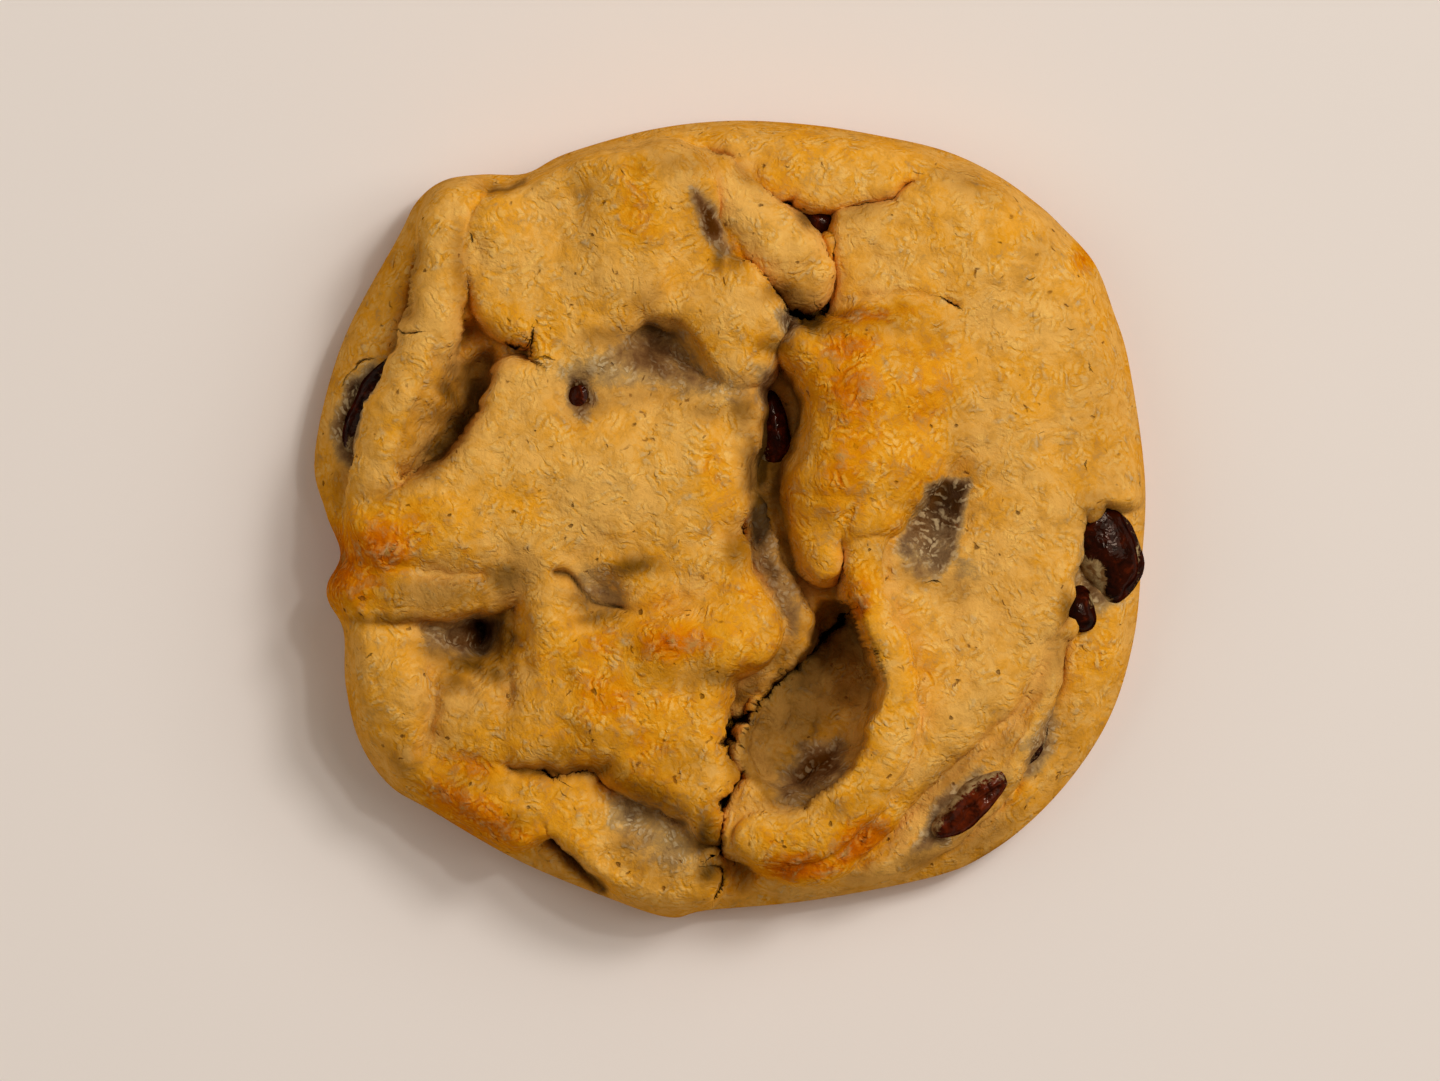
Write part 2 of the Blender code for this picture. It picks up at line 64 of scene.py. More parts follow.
dough = {
    "gridSteps": 294,      # squares across the top
    "rimCrowding": 1.12,   # how much closer they are at the rim
    "footSteps": 9,
    "curveSteps": 6,
    "equator": 4.8,        # height of the widest line round the flank
    "footRoll": 4.2,
    "rimRoll": 2.8,
    "rimStep": 0.3,
    "baseEvenness": math.radians(24),
    "lipSteepness": 8.5,
    "heightReach": 5,      # how far a fold's stated height counts, a hollow's, and a colour's
    "floorReach": 2.5,
    "showReach": 1.5,
    "foldMargin": 7,       # how far round a fold, a hollow and a crack its shape is worked out
    "hollowMargin": 4,
    "crackMargin": 2,
    "noCrack": 3,          # stands for the distance to a crack where none is near
    "lipBulge": 0.5,       # how far a steep lip leans out over what it lies on
    "wallLumps": (1.2, 2.4),           # unevenness of a steep wall: share of its bulge, size
    "waver": [(0.42, 3.2), (0.2, 1.3)],    # wander of every edge: amount, size
    "stillRim": 0.06,      # share of the radius at the rim over which the wander fades
    "lumps": [(0.46, 5.5), (0.3, 2.6), (0.11, 1.1)],    # unevenness of the surface: amount, size
    "lumpsFrom": 3,        # depth inside the outline at which they are full
    "hollowSteps": 60,     # how wide a neighbourhood tells a hollow from a crest
    "bodyBrowned": 0.16,
    "brownBlend": 1.8,     # how softly the browning changes from fold to fold
    "blobPower": 1.2,      # how firm the edges of browned and shaded places are
    "crestBrowned": 0.04,  # how much more a crest browns
    "hollowFrom": (1.5, 3),        # depth inside the outline, and the way on to the full value
    "hollowShade": (2.6, 0.1, 0.6),    # depth for full shade, what is taken off, and the most
    "rimShade": (0.3, 2.4),        # amount, depth inside the outline at which it ends
    "leanFrom": (1, 3),
    "leanShares": (1, 1, 0.3),
    "tear": {    # how ragged the sides of open cracks are and how uneven their width
        "ragged": 0.1, "raggedWide": 0.5, "raggedSize": 0.9, "uneven": 1.1, "unevenSize": 1.5,
        "shares": (0.3, 1.8), "least": 0.05, "carved": 0.15, "wall": 1.3,
    },
    "skinCrack": {"depth": 0.3, "shadeStrength": 0.85},
    "foot": {    # what the material reads at the foot of the flank
        # the foot's shaded value is painted shade under the overhanging rim
        "browned": 0.44, "shaded": 0.5, "film": 0, "crackSide": 3, "crackOpen": 0, "crackShade": 0,
    },
    "seeds": {"waverX": 3.1, "waverY": 17.7, "lumps": 31.3, "ragged": 71.3, "uneven": 83.9, "walls": 57.1},
}

# The outline from above, clockwise from the back: x, y and how far in the flank rounds there
outline = [
    (0, 40.1, 8), (8, 39.7, 8), (15, 38.6, 8), (21.5, 37.1, 8), (26.7, 34.7, 8), (30.8, 31.8, 7),
    (33.3, 29.5, 7), (36.6, 25.8, 7), (38.5, 21, 8), (40.1, 15.6, 9), (41.7, 4, 9), (41.3, -5, 7),
    (40.6, -11.8, 7), (38.7, -18.6, 7), (35.6, -24.2, 7), (31.2, -29.4, 6), (26.2, -33.4, 6),
    (20.5, -35.9, 5), (8, -38.3, 4), (-2.4, -39.3, 4), (-6.2, -40, 4), (-12.4, -38, 4), (-21.5, -34.2, 5),
    (-30, -29.3, 5), (-34.3, -26.7, 5), (-37.3, -22.3, 5), (-38.7, -16.5, 4), (-38.9, -11.2, 3),
    (-40.4, -8.3, 3), (-40.5, -6.4, 3), (-39.2, -3.4, 4), (-40.7, 0.8, 5), (-41.8, 6.6, 5),
    (-39, 17.8, 5.4), (-33.4, 28.4, 4), (-31.5, 32, 4), (-28.8, 34.1, 4), (-25, 34.7, 4),
    (-20.6, 34.8, 5), (-16.5, 36.8, 7), (-8, 39.2, 8),
]
bodyHeights = [
    (-38, 14, 8.6), (-35, 20, 9.6), (-34, 10, 9), (-20, 0, 11), (0, 36, 9.6), (20, 30, 11), (32, 8, 11),
    (36, -12, 10.6), (32, -24, 9), (25, -31, 8.2), (15, -36, 7.6), (5, -36, 7.6), (-14, -35.6, 8),
    (-18, -33.6, 8.4), (-32, -20, 10), (5, 9, 10), (4.6, 2, 12), (6, -4, 12.6), (9, -9, 10), (0, -23, 6),
    (-26, 11, 13),
]

# Folds of dough, in the order in which they lie over each other. A pillow has an edge of x, y and the
# roundness of its lip, and heights at x, y. A roll has a spine of x, y, half its width and its height.
# "drop" is how deep a lip is for its roundness, and "blend" how softly the fold runs into what it lies on.
folds = {
    "backBand": {
        "edge": [(-21, 34.2, 2), (-14, 37.4, 3), (-4, 39.4, 5), (6, 39.5, 6), (15, 38.2, 6),
                 (25.6, 34.4, 5), (25, 31.6, 4), (20.5, 33, 1.5), (17.8, 34, 1.2), (16.2, 32.2, 1.6),
                 (13, 31.3, 1.6), (10, 31, 1.4), (7.2, 31.3, 1.2), (5, 32.4, 1.2), (-10, 30, 3)],
        "heights": [(-15, 36, 10.4), (-4, 38, 11.6), (2, 37, 13), (5.6, 34, 15), (9, 35, 15),
                    (14, 34.4, 15), (22, 33, 14.5)],
        "drop": 0.9, "blend": 0.8, "browned": 0.2,
    },
    "frontShelf": {
        "edge": [(34, -10, 1.6), (32.8, -13, 1.6), (32, -18, 1.6), (30, -23.4, 1.6), (27, -27.6, 1.8),
                 (20, -33.6, 1.8), (16, -36, 2), (8, -38, 3), (4, -37.8, 3), (3, -34.5, 2), (14, -26, 3),
                 (28, -13, 3)],
        "heights": [(31, -16, 14), (28, -21, 13.2), (23, -26, 12.6), (16, -33, 11.4), (8, -36.5, 9)],
        "drop": 0.8, "blend": 0.5, "browned": 0.04,
    },
    "rightSlab": {
        "edge": [(10.6, 29.4, 1.2), (12, 30.5, 1.4), (16.3, 31.6, 2.2), (17.9, 33.2, 2.4), (22, 35.2, 5),
                 (28.8, 33, 7), (35.8, 25.2, 9), (40, 15, 11), (41.5, 7, 10), (41.4, 2.6, 6),
                 (39.4, 1.3, 3), (37.6, 1.9, 2), (36.2, 0.4, 1.6), (34.8, -0.2, 1.8), (33.6, -7.6, 2),
                 (32.4, -10.6, 2), (31.5, -13, 3.4), (29.6, -17.4, 4.6), (25.4, -21.2, 4.8),
                 (17.6, -28.4, 4.6), (12, -34.4, 3.6), (7.6, -36.4, 3), (1.4, -33.4, 3),
                 (-0.7, -32.2, 2), (-0.7, -29.6, 1.6), (1.9, -26, 1.4), (0.4, -23, 1.2), (3.7, -17.2, 1),
                 (11.1, -10.6, 1.2), (11.4, -5.5, 2), (12, -2.5, 2), (8.4, 10, 4), (10.7, 20.4, 2.2)],
        "heights": [(14, 27, 15.6), (15, 23, 16.2), (23, 26, 16), (30, 20, 15), (27, 9, 16),
                    (35, 9, 14.4), (21, 2, 14.6), (26, -4, 16), (32, -4, 15.8), (30, -12, 16.4),
                    (14.6, -6, 17), (17, -13, 17), (24, -14, 16.8), (17.6, -20, 17), (14.6, -27, 16.6),
                    (6, -31.5, 16), (10, -32.5, 15.4), (1.6, -30, 15.6)],
        "drop": 0.85, "blend": 0.6, "browned": 0.1,
    },
    "pocketRim": {
        "spine": [(13.8, 0.6, 1.8, 18.8), (13.2, -3, 1.8, 18.6), (13.4, -6, 1.6, 18.8),
                  (14, -9.4, 1.6, 19.4), (15.8, -14, 1.8, 20), (16, -19, 2, 19.8),
                  (14.4, -24.4, 2.2, 19), (11.2, -28.6, 2.6, 18.6), (7, -31.4, 2.4, 18),
                  (3, -31.6, 2, 17.2)],
        "drop": 0.8, "blend": 3, "browned": 0.2,
    },
    "frontLeft": {
        "edge": [(-38.9, -7.4, 3), (-38.9, -11, 3), (-38.7, -16, 3.4), (-37.3, -22, 4.4), (-32, -28, 6),
                 (-26.4, -31.6, 4), (-22.6, -32.6, 1.4), (-19.8, -31.8, 1), (-17, -30, 2), (-13, -25, 4),
                 (-18, -17, 5), (-21.6, -8, 4), (-26, -6.2, 2), (-33, -6.4, 2)],
        "heights": [(-34.6, -13, 14.6), (-33.2, -17.6, 15.2), (-27, -20, 15), (-29.6, -25, 13.4),
                    (-24, -28.6, 14.2), (-20, -20, 15.8), (-28, -14, 13), (-35, -22, 13.4)],
        "drop": 0.9, "blend": 1.8, "browned": 0.16,
    },
    "frontTongue": {
        "edge": [(-22, -25.8, 2.4), (-19.4, -29.6, 1), (-17, -31.8, 0.8), (-14.6, -34.2, 0.8),
                 (-12, -36.8, 0.8), (-9.4, -39.2, 1.4), (-6, -40, 4), (-2.6, -39, 3), (-1.2, -35.4, 1.1),
                 (-3.4, -31.2, 2), (-8.5, -28.2, 3), (-12, -26.7, 3), (-16, -25.4, 2.4)],
        "heights": [(-19, -27, 14.4), (-14.4, -31, 14.4), (-11.4, -34.4, 13.4), (-8, -32, 14.2),
                    (-4.6, -34, 14), (-6.4, -36.6, 13)],
        "drop": 0.9, "blend": 0.6, "browned": 0.14,
    },
    "tornLedge": {
        "spine": [(1.8, 1.6, 1, 15.2), (2.8, -2.4, 1.3, 15.2), (4.4, -6.2, 1.5, 15), (6, -9.8, 1.6, 15),
                  (5.8, -12.4, 1.6, 14), (3, -15.2, 1.4, 13.4), (0.6, -18.2, 1.1, 11.5)],
        "drop": 1, "blend": 0.5, "browned": 0.08,
    },
    "frontMiddle": {
        "edge": [(-21, -8, 4), (-17.4, -4, 4), (-8, -2.6, 4), (0.2, -1.6, 2.4), (2.2, -6, 2.6),
                 (4.8, -10.6, 2.8), (3.6, -13.6, 2.8), (-0.4, -16, 2.6), (-1.2, -20.5, 2.6),
                 (0.2, -25.7, 2), (-1.2, -29, 1.8), (-2.4, -31.6, 1.8), (-5.2, -29.2, 2.4),
                 (-10, -27.1, 2.4), (-13, -24.8, 2.6), (-17, -24.4, 3), (-22, -23.2, 5), (-23.2, -19, 6),
                 (-21.6, -13, 5)],
        "heights": [(-18, -9, 16.6), (-19, -15, 15.8), (-12, -14, 18), (-6, -13, 20.8), (0, -12.4, 20.2),
                    (4, -11.6, 18.8), (-13, -19.6, 18.8), (-3, -19, 18.4), (-3, -26, 17.8),
                    (-17, -22, 17), (-5, -7, 16.8), (-14, -8.6, 16), (-4, -16, 18), (-10, -5, 17.6),
                    (-2, -3, 18)],
        "drop": 0.9, "blend": 2.6, "browned": 0.28,
    },
    "plateau": {
        "edge": [(-19.4, 15.2, 1.2), (-22.8, 15, 1.6), (-24.4, 11.4, 1.8), (-26.2, 8, 1.8),
                 (-29.2, 4.9, 1.8), (-33, 3.2, 2), (-37.3, 0.9, 3), (-39, -4, 3), (-40.5, -8, 3),
                 (-38.4, -10, 3), (-31, -9.9, 2.6), (-25, -9.2, 2.6), (-21, -8.4, 4), (-17, -9.4, 5),
                 (-12, -10.4, 5), (-5, -9.4, 5), (0.2, -5, 3), (0.2, -1.6, 2.6), (0.6, 0.8, 2.6),
                 (1.6, 5, 2.6), (2.6, 12.8, 2.6), (-3, 18, 5), (-10, 20, 5), (-18.5, 18, 3)],
        "heights": [(-37.4, -5.6, 14.6), (-34, -2.4, 17.2), (-27, -1, 18), (-19, 8, 18.8),
                    (-21.4, 12.4, 18), (-12, 3, 19.4), (-4, 7, 19.2), (-4, 1, 19.6), (-14, 15, 17.2),
                    (-7, 15, 16), (-0.6, 10.6, 18), (-30, -6.6, 16.4), (-14, -5.6, 16.8), (-8, -6.4, 17),
                    (-1, -4, 18), (-18, -2, 18.2), (-22, -6, 16.6)],
        "drop": 0.9, "blend": 2.8, "browned": 0.06,
    },
    "leftRoll": {
        "spine": [(-27.4, 32, 2.8, 16.4), (-28.3, 28.6, 2.7, 17.6), (-28.7, 23.4, 2.3, 18),
                  (-29.8, 18.6, 2.6, 18.2), (-30.8, 14, 2.9, 18.2), (-33.1, 9.3, 3.2, 17.8),
                  (-34.4, 5.2, 2.8, 17), (-35.6, 1.2, 2.1, 15.4)],
        "drop": 1.2, "blend": 0.8, "browned": 0.08,
    },
    "backLeft": {
        "edge": [(-23.8, 32, 1.8), (-19.6, 33.9, 1.8), (-15, 35.7, 1.8), (-10, 36.6, 2), (-4, 36.4, 2),
                 (-1.8, 33, 2), (-0.5, 26.6, 2.4), (2.4, 24.4, 2), (5, 21, 2.6), (4.2, 17.6, 2.8),
                 (3.4, 14.6, 2.8), (0.5, 13, 3.2), (-3.4, 16.2, 3.4), (-5.8, 19, 3.2), (-9, 19.8, 3),
                 (-10.8, 16.6, 2.6), (-13, 13.6, 2.6), (-17, 12.8, 2.6), (-19.2, 15.2, 1),
                 (-19.5, 17.4, 0.6), (-21.8, 18, 1.6), (-24.4, 19.4, 3), (-26.1, 24, 2.2),
                 (-25.9, 29.6, 1.8)],
        "heights": [(-21.6, 28, 18), (-18, 31, 17), (-9, 33, 20.8), (-8, 29, 20.4), (-10, 25, 19.6),
                    (-17, 22, 18), (0.4, 21, 20.4), (1, 16.6, 19.4), (-4, 25, 18.6), (-15, 17, 17.8),
                    (-12, 15, 17.8), (-17, 14.6, 17.8), (-22, 22, 17.6)],
        "drop": 0.9, "blend": 1.4, "browned": 0.14,
    },
    "finger": {
        "spine": [(-3.4, 35, 1.8, 16.6), (0, 32, 2.4, 17.6), (3, 28.8, 2.8, 18.4),
                  (5.7, 26.2, 3.3, 18.6), (7.5, 24.4, 2.8, 17.4)],
        "drop": 0.9, "blend": 0.6, "browned": 0,
    },
    "brownDome": {
        "edge": [(5, 16.8, 3), (6.4, 18.7, 3), (10.4, 19.3, 3), (12.8, 21, 3), (16, 22, 4), (20, 22, 6),
                 (24.2, 19, 9), (25.8, 13, 10), (23, 6.6, 6), (19.2, 2.6, 3), (16.6, -1, 3),
                 (13.6, -1.6, 2), (11.4, -2.8, 1.6), (10.6, -5, 2), (9.2, -6, 2.4), (7.6, -4.6, 2.8),
                 (6.4, -1.6, 3.4), (6, 1.4, 4), (6.4, 4.8, 4.2), (8, 8, 3.8), (8.6, 11.2, 3.6),
                 (7, 14.4, 3.2)],
        "heights": [(13, 13, 22.4), (12.4, 5, 21.6), (17, 13, 20.8), (20, 9, 18.8), (9, -3, 18),
                    (14, 0, 19.4), (10.6, 17, 20.4), (18, 18.4, 18), (16, 3, 20)],
        "drop": 0.95, "blend": 2.6, "browned": 0.3,
    },
    "rollBed": {
        "spine": [(-25.7, 31, 1.5, 16.2), (-26.2, 28, 1.5, 16.4), (-26.5, 23.6, 1.5, 15.6),
                  (-26.6, 21, 1.2, 14.2)],
        "drop": 0.6, "blend": 1.8, "browned": 0.26,
    },
    "fingerBed": {
        "spine": [(-2.4, 31, 1.3, 16.8), (-0.4, 28, 1.4, 16.8), (1.6, 25.6, 1.4, 16.2),
                  (3.2, 23.8, 1, 15)],
        "drop": 0.8, "blend": 1.3, "browned": 0.5,
    },
    "slabBed": {
        "spine": [(10.5, 27.6, 0.7, 14.8), (10.5, 24.6, 0.7, 14.6), (10.3, 22, 0.6, 13.8)],
        "drop": 0.8, "blend": 0.6, "browned": 0.2,
    },
}

# Hollows pressed into the folds: an edge of x, y and the roundness of the wall, heights of the floor, and
# how strongly painted shade darkens their floor at x, y
hollows = {
    "deepPocket": {
        "edge": [(11.8, -8.4, 1), (13.2, -10.8, 0.7), (14.7, -15.4, 0.7), (14.5, -19.8, 1),
                 (12.8, -23.6, 1.8), (10.8, -26.2, 2.6), (7.6, -28.4, 2.2), (4, -28.3, 1.7),
                 (1.7, -25, 1.2), (1.3, -22, 1), (2.6, -18.6, 0.7), (5.5, -15.4, 0.6), (7.8, -12.4, 0.6),
                 (8.2, -10, 1), (9.6, -8.6, 1.6)],
        "heights": [(3.4, -20, 11), (2, -24, 12), (7, -20, 9), (8.6, -14.4, 7.6), (11, -16, 8.6),
                    (11.3, -12, 6.4), (8, -25, 10.4), (4.2, -27.5, 13.4), (12, -21, 10.2),
                    (9.6, -9.8, 7)],
        "blend": 0.8, "drop": 2, "steep": 9,
        "shows": [(3.4, -19.4, 0.8), (2.2, -24, 0.74), (6, -16, 0.85), (8.4, -12.8, 0.9),
                  (10.6, -11.4, 0.8), (12.8, -15, 0.62), (13, -20, 0.32), (10.8, -24.4, 0.5),
                  (6.6, -20, 0.84), (9.8, -17, 0.66), (4.6, -27, 0.66), (8, -27, 0.76),
                  (5.6, -24.6, 0.8)],
        "soft": 0.4, "reach": 0.4,
    },
    "leftPit": {
        "edge": [(-31, -10.2, 1), (-27, -9.8, 1), (-24.6, -9.6, 1.2), (-22.4, -9.6, 3),
                 (-20.6, -11.6, 4.4), (-21.2, -14.6, 4.4), (-24, -16.4, 4), (-28, -15.2, 3),
                 (-31.6, -12.8, 2)],
        "heights": [(-25, -11.4, 5.6), (-24, -13, 8.2), (-27.4, -12, 10), (-30, -12, 12.4)],
        "blend": 2, "drop": 1.7, "steep": 5,
        "shows": [(-25, -11.2, 1), (-22.8, -12.4, 0.9), (-27.6, -12, 0.35), (-29.8, -11.4, 0.15),
                  (-22.6, -14.6, 0.65), (-25.4, -13.8, 0.8), (-28, -14.6, 0.5)],
        "soft": 1.6, "reach": 0.2,
    },
    "archPit": {
        "edge": [(-11.6, 16.4, 3), (-10.4, 18.8, 3), (-7.6, 20.2, 2.6), (-5, 19.4, 2.2), (-3, 17, 1.8),
                 (-0.8, 14, 2), (-3, 13, 2), (-7, 14.2, 3)],
        "heights": [(-7.2, 18, 14), (-4.2, 16, 14), (-10, 16.6, 15.6), (-2.4, 14.2, 15)],
        "blend": 2, "drop": 1.3, "steep": 5,
        "shows": [(-7.4, 18, 0.8), (-10.4, 17, 0.6), (-4.6, 16.6, 0.5), (-2.2, 14.4, 0.4)],
        "soft": 1.8, "reach": 0.2,
    },
    "leftValley": {
        "edge": [(-27, 20.2, 2.4), (-25.4, 18.6, 2.2), (-24, 17.2, 1.2), (-23, 15.6, 0.8),
                 (-23.6, 14, 0.8), (-24.6, 11.8, 0.8), (-26.2, 8.8, 0.8), (-28, 6.4, 0.8),
                 (-30.6, 4.9, 1), (-33.2, 4.1, 1.4), (-33.4, 6.6, 3.4), (-32.2, 9.6, 4.4),
                 (-30.9, 13, 5), (-29.8, 16.6, 4.6), (-28.6, 19.4, 3.6)],
        "heights": [(-24.6, 15.6, 9.4), (-25.4, 12.6, 8.2), (-27.2, 9.4, 8.4), (-29.4, 6.6, 9.6),
                    (-32, 5.4, 12), (-26.2, 18.4, 14), (-28.4, 11, 9.6), (-27.6, 14.6, 10)],
        "blend": 1, "drop": 1.5, "steep": 9,
        "shows": [(-23.8, 15, 0.8), (-25, 12, 1), (-26.8, 9, 1), (-28.6, 6.8, 0.9), (-31.4, 5.2, 0.6),
                  (-27.6, 17.6, 0.1), (-29, 13.4, 0.2), (-30.6, 9.6, 0.34), (-32.2, 6.4, 0.4),
                  (-26, 18.6, 0.1), (-27, 14.6, 0.75), (-28.6, 10.4, 0.65)],
        "soft": 0.8, "reach": 0.3,
    },
}

# Soft swellings and dips: x, y, half width, half depth, turn in degrees, height
swells = [
    (-15, 29, 2.2, 7, 0, 0.4), (20.8, -0.6, 2.6, 4.4, -15, -1), (-29.6, -21, 1.6, 3.6, 0, -0.9),
    (-15.4, 12.4, 1.4, 2, 0, -1.2), (-9.5, -29.6, 2.4, 2, -20, -0.9), (-30, -0.6, 6, 2, 10, 0.5),
    (-2.2, 30, 1, 4, 16, -0.8), (-15.4, 11.6, 1.3, 3, 0, -0.9), (-16.6, -12, 1.6, 4.6, 0, 0.6),
    (-33, -15, 3, 3, 30, 0.5), (-12.4, -7, 2.4, 1.6, -30, -2.6), (-8, 9.6, 3, 2, 20, -0.4),
    (-20, -15, 1.8, 4, 0, -0.6), (17.8, 1, 1.6, 3, -20, -0.8), (-32.8, -15.4, 2.6, 4, 16, 1),
    (-24.4, -18.8, 1.6, 2, 0, 1), (-25, -24.6, 4, 1.8, -18, -0.7), (-19, -12.6, 1.5, 4.6, 0, 1.3),
    (-22.2, -17, 1, 3, 0, -0.5), (13, 20, 5, 1.2, 6, -0.9), (-9, -9.4, 5, 1.2, 8, -0.8),
    (27, 16, 3, 5, 20, 0.4), (22.6, -10, 3, 4, 0, -0.5), (-25, 27, 1, 3, 0, -0.6),
]

# Creases: a line of x, y, with its depth and half its width, and how strongly painted shade darkens them
creases = [
    {"line": [(11.9, 0.4), (11.4, -2.6), (11.2, -5), (11.4, -7.6)], "depth": 0.6, "width": 0.7, "shadeStrength": 0.1},
    {"line": [(-33.4, -4.6), (-29, -5.2), (-25, -5.4)], "depth": 0.9, "width": 1, "shadeStrength": 0.3},
    {"line": [(-25, -5.4), (-22.6, -5.4)], "depth": 0.3, "width": 1.1, "shadeStrength": 0.2},
    {"line": [(-17.6, -5.3), (-16, -5.6), (-14.8, -7.2), (-13.4, -8.5), (-11, -8.8)],
     "depth": 1.2, "width": 0.55, "shadeStrength": 0.95},
    {"line": [(-22, -24.6), (-18.6, -25), (-15, -24.8), (-12.4, -24.6)],
     "depth": 1.6, "width": 0.9, "shadeStrength": 0.8},
    {"line": [(-25.8, 34), (-23.7, 32.5)], "depth": 0.8, "width": 0.4, "shadeStrength": 0.3},
    {"line": [(-24, 32.5), (-22.6, 33), (-20.6, 33.9)], "depth": 1.6, "width": 0.6, "shadeStrength": 0.8},
    {"line": [(-20, 34.4), (-15, 36.5), (-10, 37.2), (-4, 37.2), (0, 35.8)],
     "depth": 1, "width": 0.34, "shadeStrength": 0.3},
    {"line": [(-30.3, -15.4), (-29.4, -18.6), (-30, -21), (-31, -22.8)],
     "depth": 0.8, "width": 0.8, "shadeStrength": 0.3},
    {"line": [(-21.9, -15.2), (-22.2, -18.8)], "depth": 0.6, "width": 0.6, "shadeStrength": 0.3},
    {"line": [(-25.6, -15), (-26.6, -17.4)], "depth": 0.4, "width": 0.7, "shadeStrength": 0.2},
    {"line": [(33.4, -12), (32.9, -16), (31.4, -20), (30, -23.4), (28.4, -26.8)],
     "depth": 0.9, "width": 0.5, "shadeStrength": 0.3},
    {"line": [(32.4, -14), (31.2, -18), (29.8, -21.6), (27.9, -25.6)],
     "depth": -0.7, "width": 0.6, "shadeStrength": 0},
    {"line": [(-17.9, -32), (-15.4, -34.5), (-12.7, -37.2)], "depth": 2.4, "width": 0.6, "shadeStrength": 0.9},
    {"line": [(27, -27.8), (23.6, -31.6), (18.4, -34.6)], "depth": 0.6, "width": 0.6, "shadeStrength": 0.25},
    {"line": [(10.4, 21), (12.8, 22.2), (16, 22.6), (20, 22.3)], "depth": 0.4, "width": 0.4, "shadeStrength": 0.2},
    {"line": [(-31, 27), (-31.2, 24), (-32.4, 20)], "depth": 1, "width": 0.7, "shadeStrength": 0.6},
    {"line": [(13.4, -34.6), (17.6, -29.4), (22, -25), (27, -20.8), (30.6, -17.4)],
     "depth": 0.5, "width": 0.8, "shadeStrength": 0.16},
]

# Open cracks and tears: a line of x, y and half its width, with its depth and how strongly painted shade
# darkens them inside. They are ragged.
cracks = {
    "pocketTear": {
        "line": [(11.4, -10, 0.5), (9, -12.4, 0.6), (5.6, -15.4, 0.4), (3.6, -17.4, 0.4),
                 (1.6, -19.4, 0.4), (0.1, -20.8, 0.6), (-0.5, -22.4, 0.7), (0.2, -24.2, 0.3),
                 (1, -25.6, 0.3), (0.4, -27.2, 0.45), (-0.6, -28.4, 0.5), (-0.7, -30, 0.25),
                 (-0.9, -32, 0.3), (-1.3, -33.4, 0.3), (-2.2, -34, 0.1)],
        "depth": 5, "shadeStrength": 1,
    },
    "fingerGap": {
        "line": [(3.6, 23.4, 0.15), (4.8, 22.2, 0.4), (6, 21, 0.8), (7.8, 20.4, 0.5), (9.8, 20.2, 0.2)],
        "depth": 6, "shadeStrength": 1,
    },
    "fingerSide": {
        "line": [(10.4, 28.4, 0.1), (10.5, 25.6, 0.16), (10.1, 23.2, 0.12), (9.9, 21.4, 0.24)],
        "depth": 1.5, "shadeStrength": 1,
    },
    "slabSplit": {"line": [(20.3, 22.4, 0.1), (21.6, 21.8, 0.3), (23.4, 20.6, 0.12)], "depth": 1, "shadeStrength": 1},
    "tongueSplit": {
        "line": [(-2.8, -34.6, 0.1), (-1.3, -34.6, 0.2), (-1, -36, 0.22), (-1.5, -37.8, 0.12)],
        "depth": 2, "shadeStrength": 1,
    },
    "rollSplit": {
        "line": [(-33.4, 18.9, 0.06), (-32, 18.5, 0.16), (-30.3, 18.9, 0.08)],
        "depth": 0.8, "shadeStrength": 1,
    },
    "tongueHole": {
        "line": [(-22.8, 18.2, 0.1), (-21.8, 17.7, 0.24), (-20.6, 17.5, 0.08)],
        "depth": 1.6, "shadeStrength": 1,
    },
    "stepSplit": {
        "line": [(-19.5, 18.9, 0.08), (-19.5, 17.2, 0.22), (-19.4, 15.4, 0.1)],
        "depth": 0.8, "shadeStrength": 1,
    },
    "lowerFold": {
        "line": [(-19.4, -24.8, 0.1), (-17.4, -25.4, 0.34), (-15.2, -25.1, 0.2), (-13.4, -24.9, 0.08)],
        "depth": 2, "shadeStrength": 0.9,
    },
}

# Where the crust has baked darker: x, y, half width, half depth, turn in degrees, amount
browned = [
    (12.4, 11, 4.6, 7, 0, 0.6), (10.6, 3, 4, 6, 0, 0.52), (13, -6.4, 2, 3.6, 0, 0.5),
    (13, -9, 1, 1.6, 0, 0.7), (-38.4, -4.6, 5, 5, 0, 0.84), (-32.5, -1.5, 5.4, 3.2, 15, 0.5),
    (-9, 31.6, 2.8, 5, 0, 0.45), (-5.4, -12.6, 5, 2.4, 10, 0.74), (-12.6, -17.6, 5, 3.6, 0, 0.5),
    (-12.4, -12.6, 2.4, 3, 0, 0.5), (-8, -22.6, 6, 2.4, 10, 0.4), (-25.4, -29.4, 7, 2.6, -28, 0.84),
    (7, -34.6, 5, 2, 4, 0.9), (12.6, -32.2, 4.6, 2.2, 40, 0.86), (6, -31.5, 4.4, 2, 0, 0.4),
    (17.6, -27.6, 3, 1.2, 42, 0.3), (-1.4, 3, 2.4, 6, 0, 0.3), (-26, 0, 7, 3.4, 10, 0.25),
    (24, 28, 8, 4, -20, 0.2), (35.4, 26.2, 2, 1.4, -50, 0.6), (2.6, 17.6, 2, 3, 0, 0.3),
    (14, 20, 5.4, 1.4, 8, 0.7), (12, 17, 5, 2.6, 0, 0.6), (-34.6, -2.6, 4, 3.6, 0, 0.8),
    (-26, -24.6, 4, 2.2, -20, 0.5), (-31, -21, 3, 7, 20, 0.2),
]
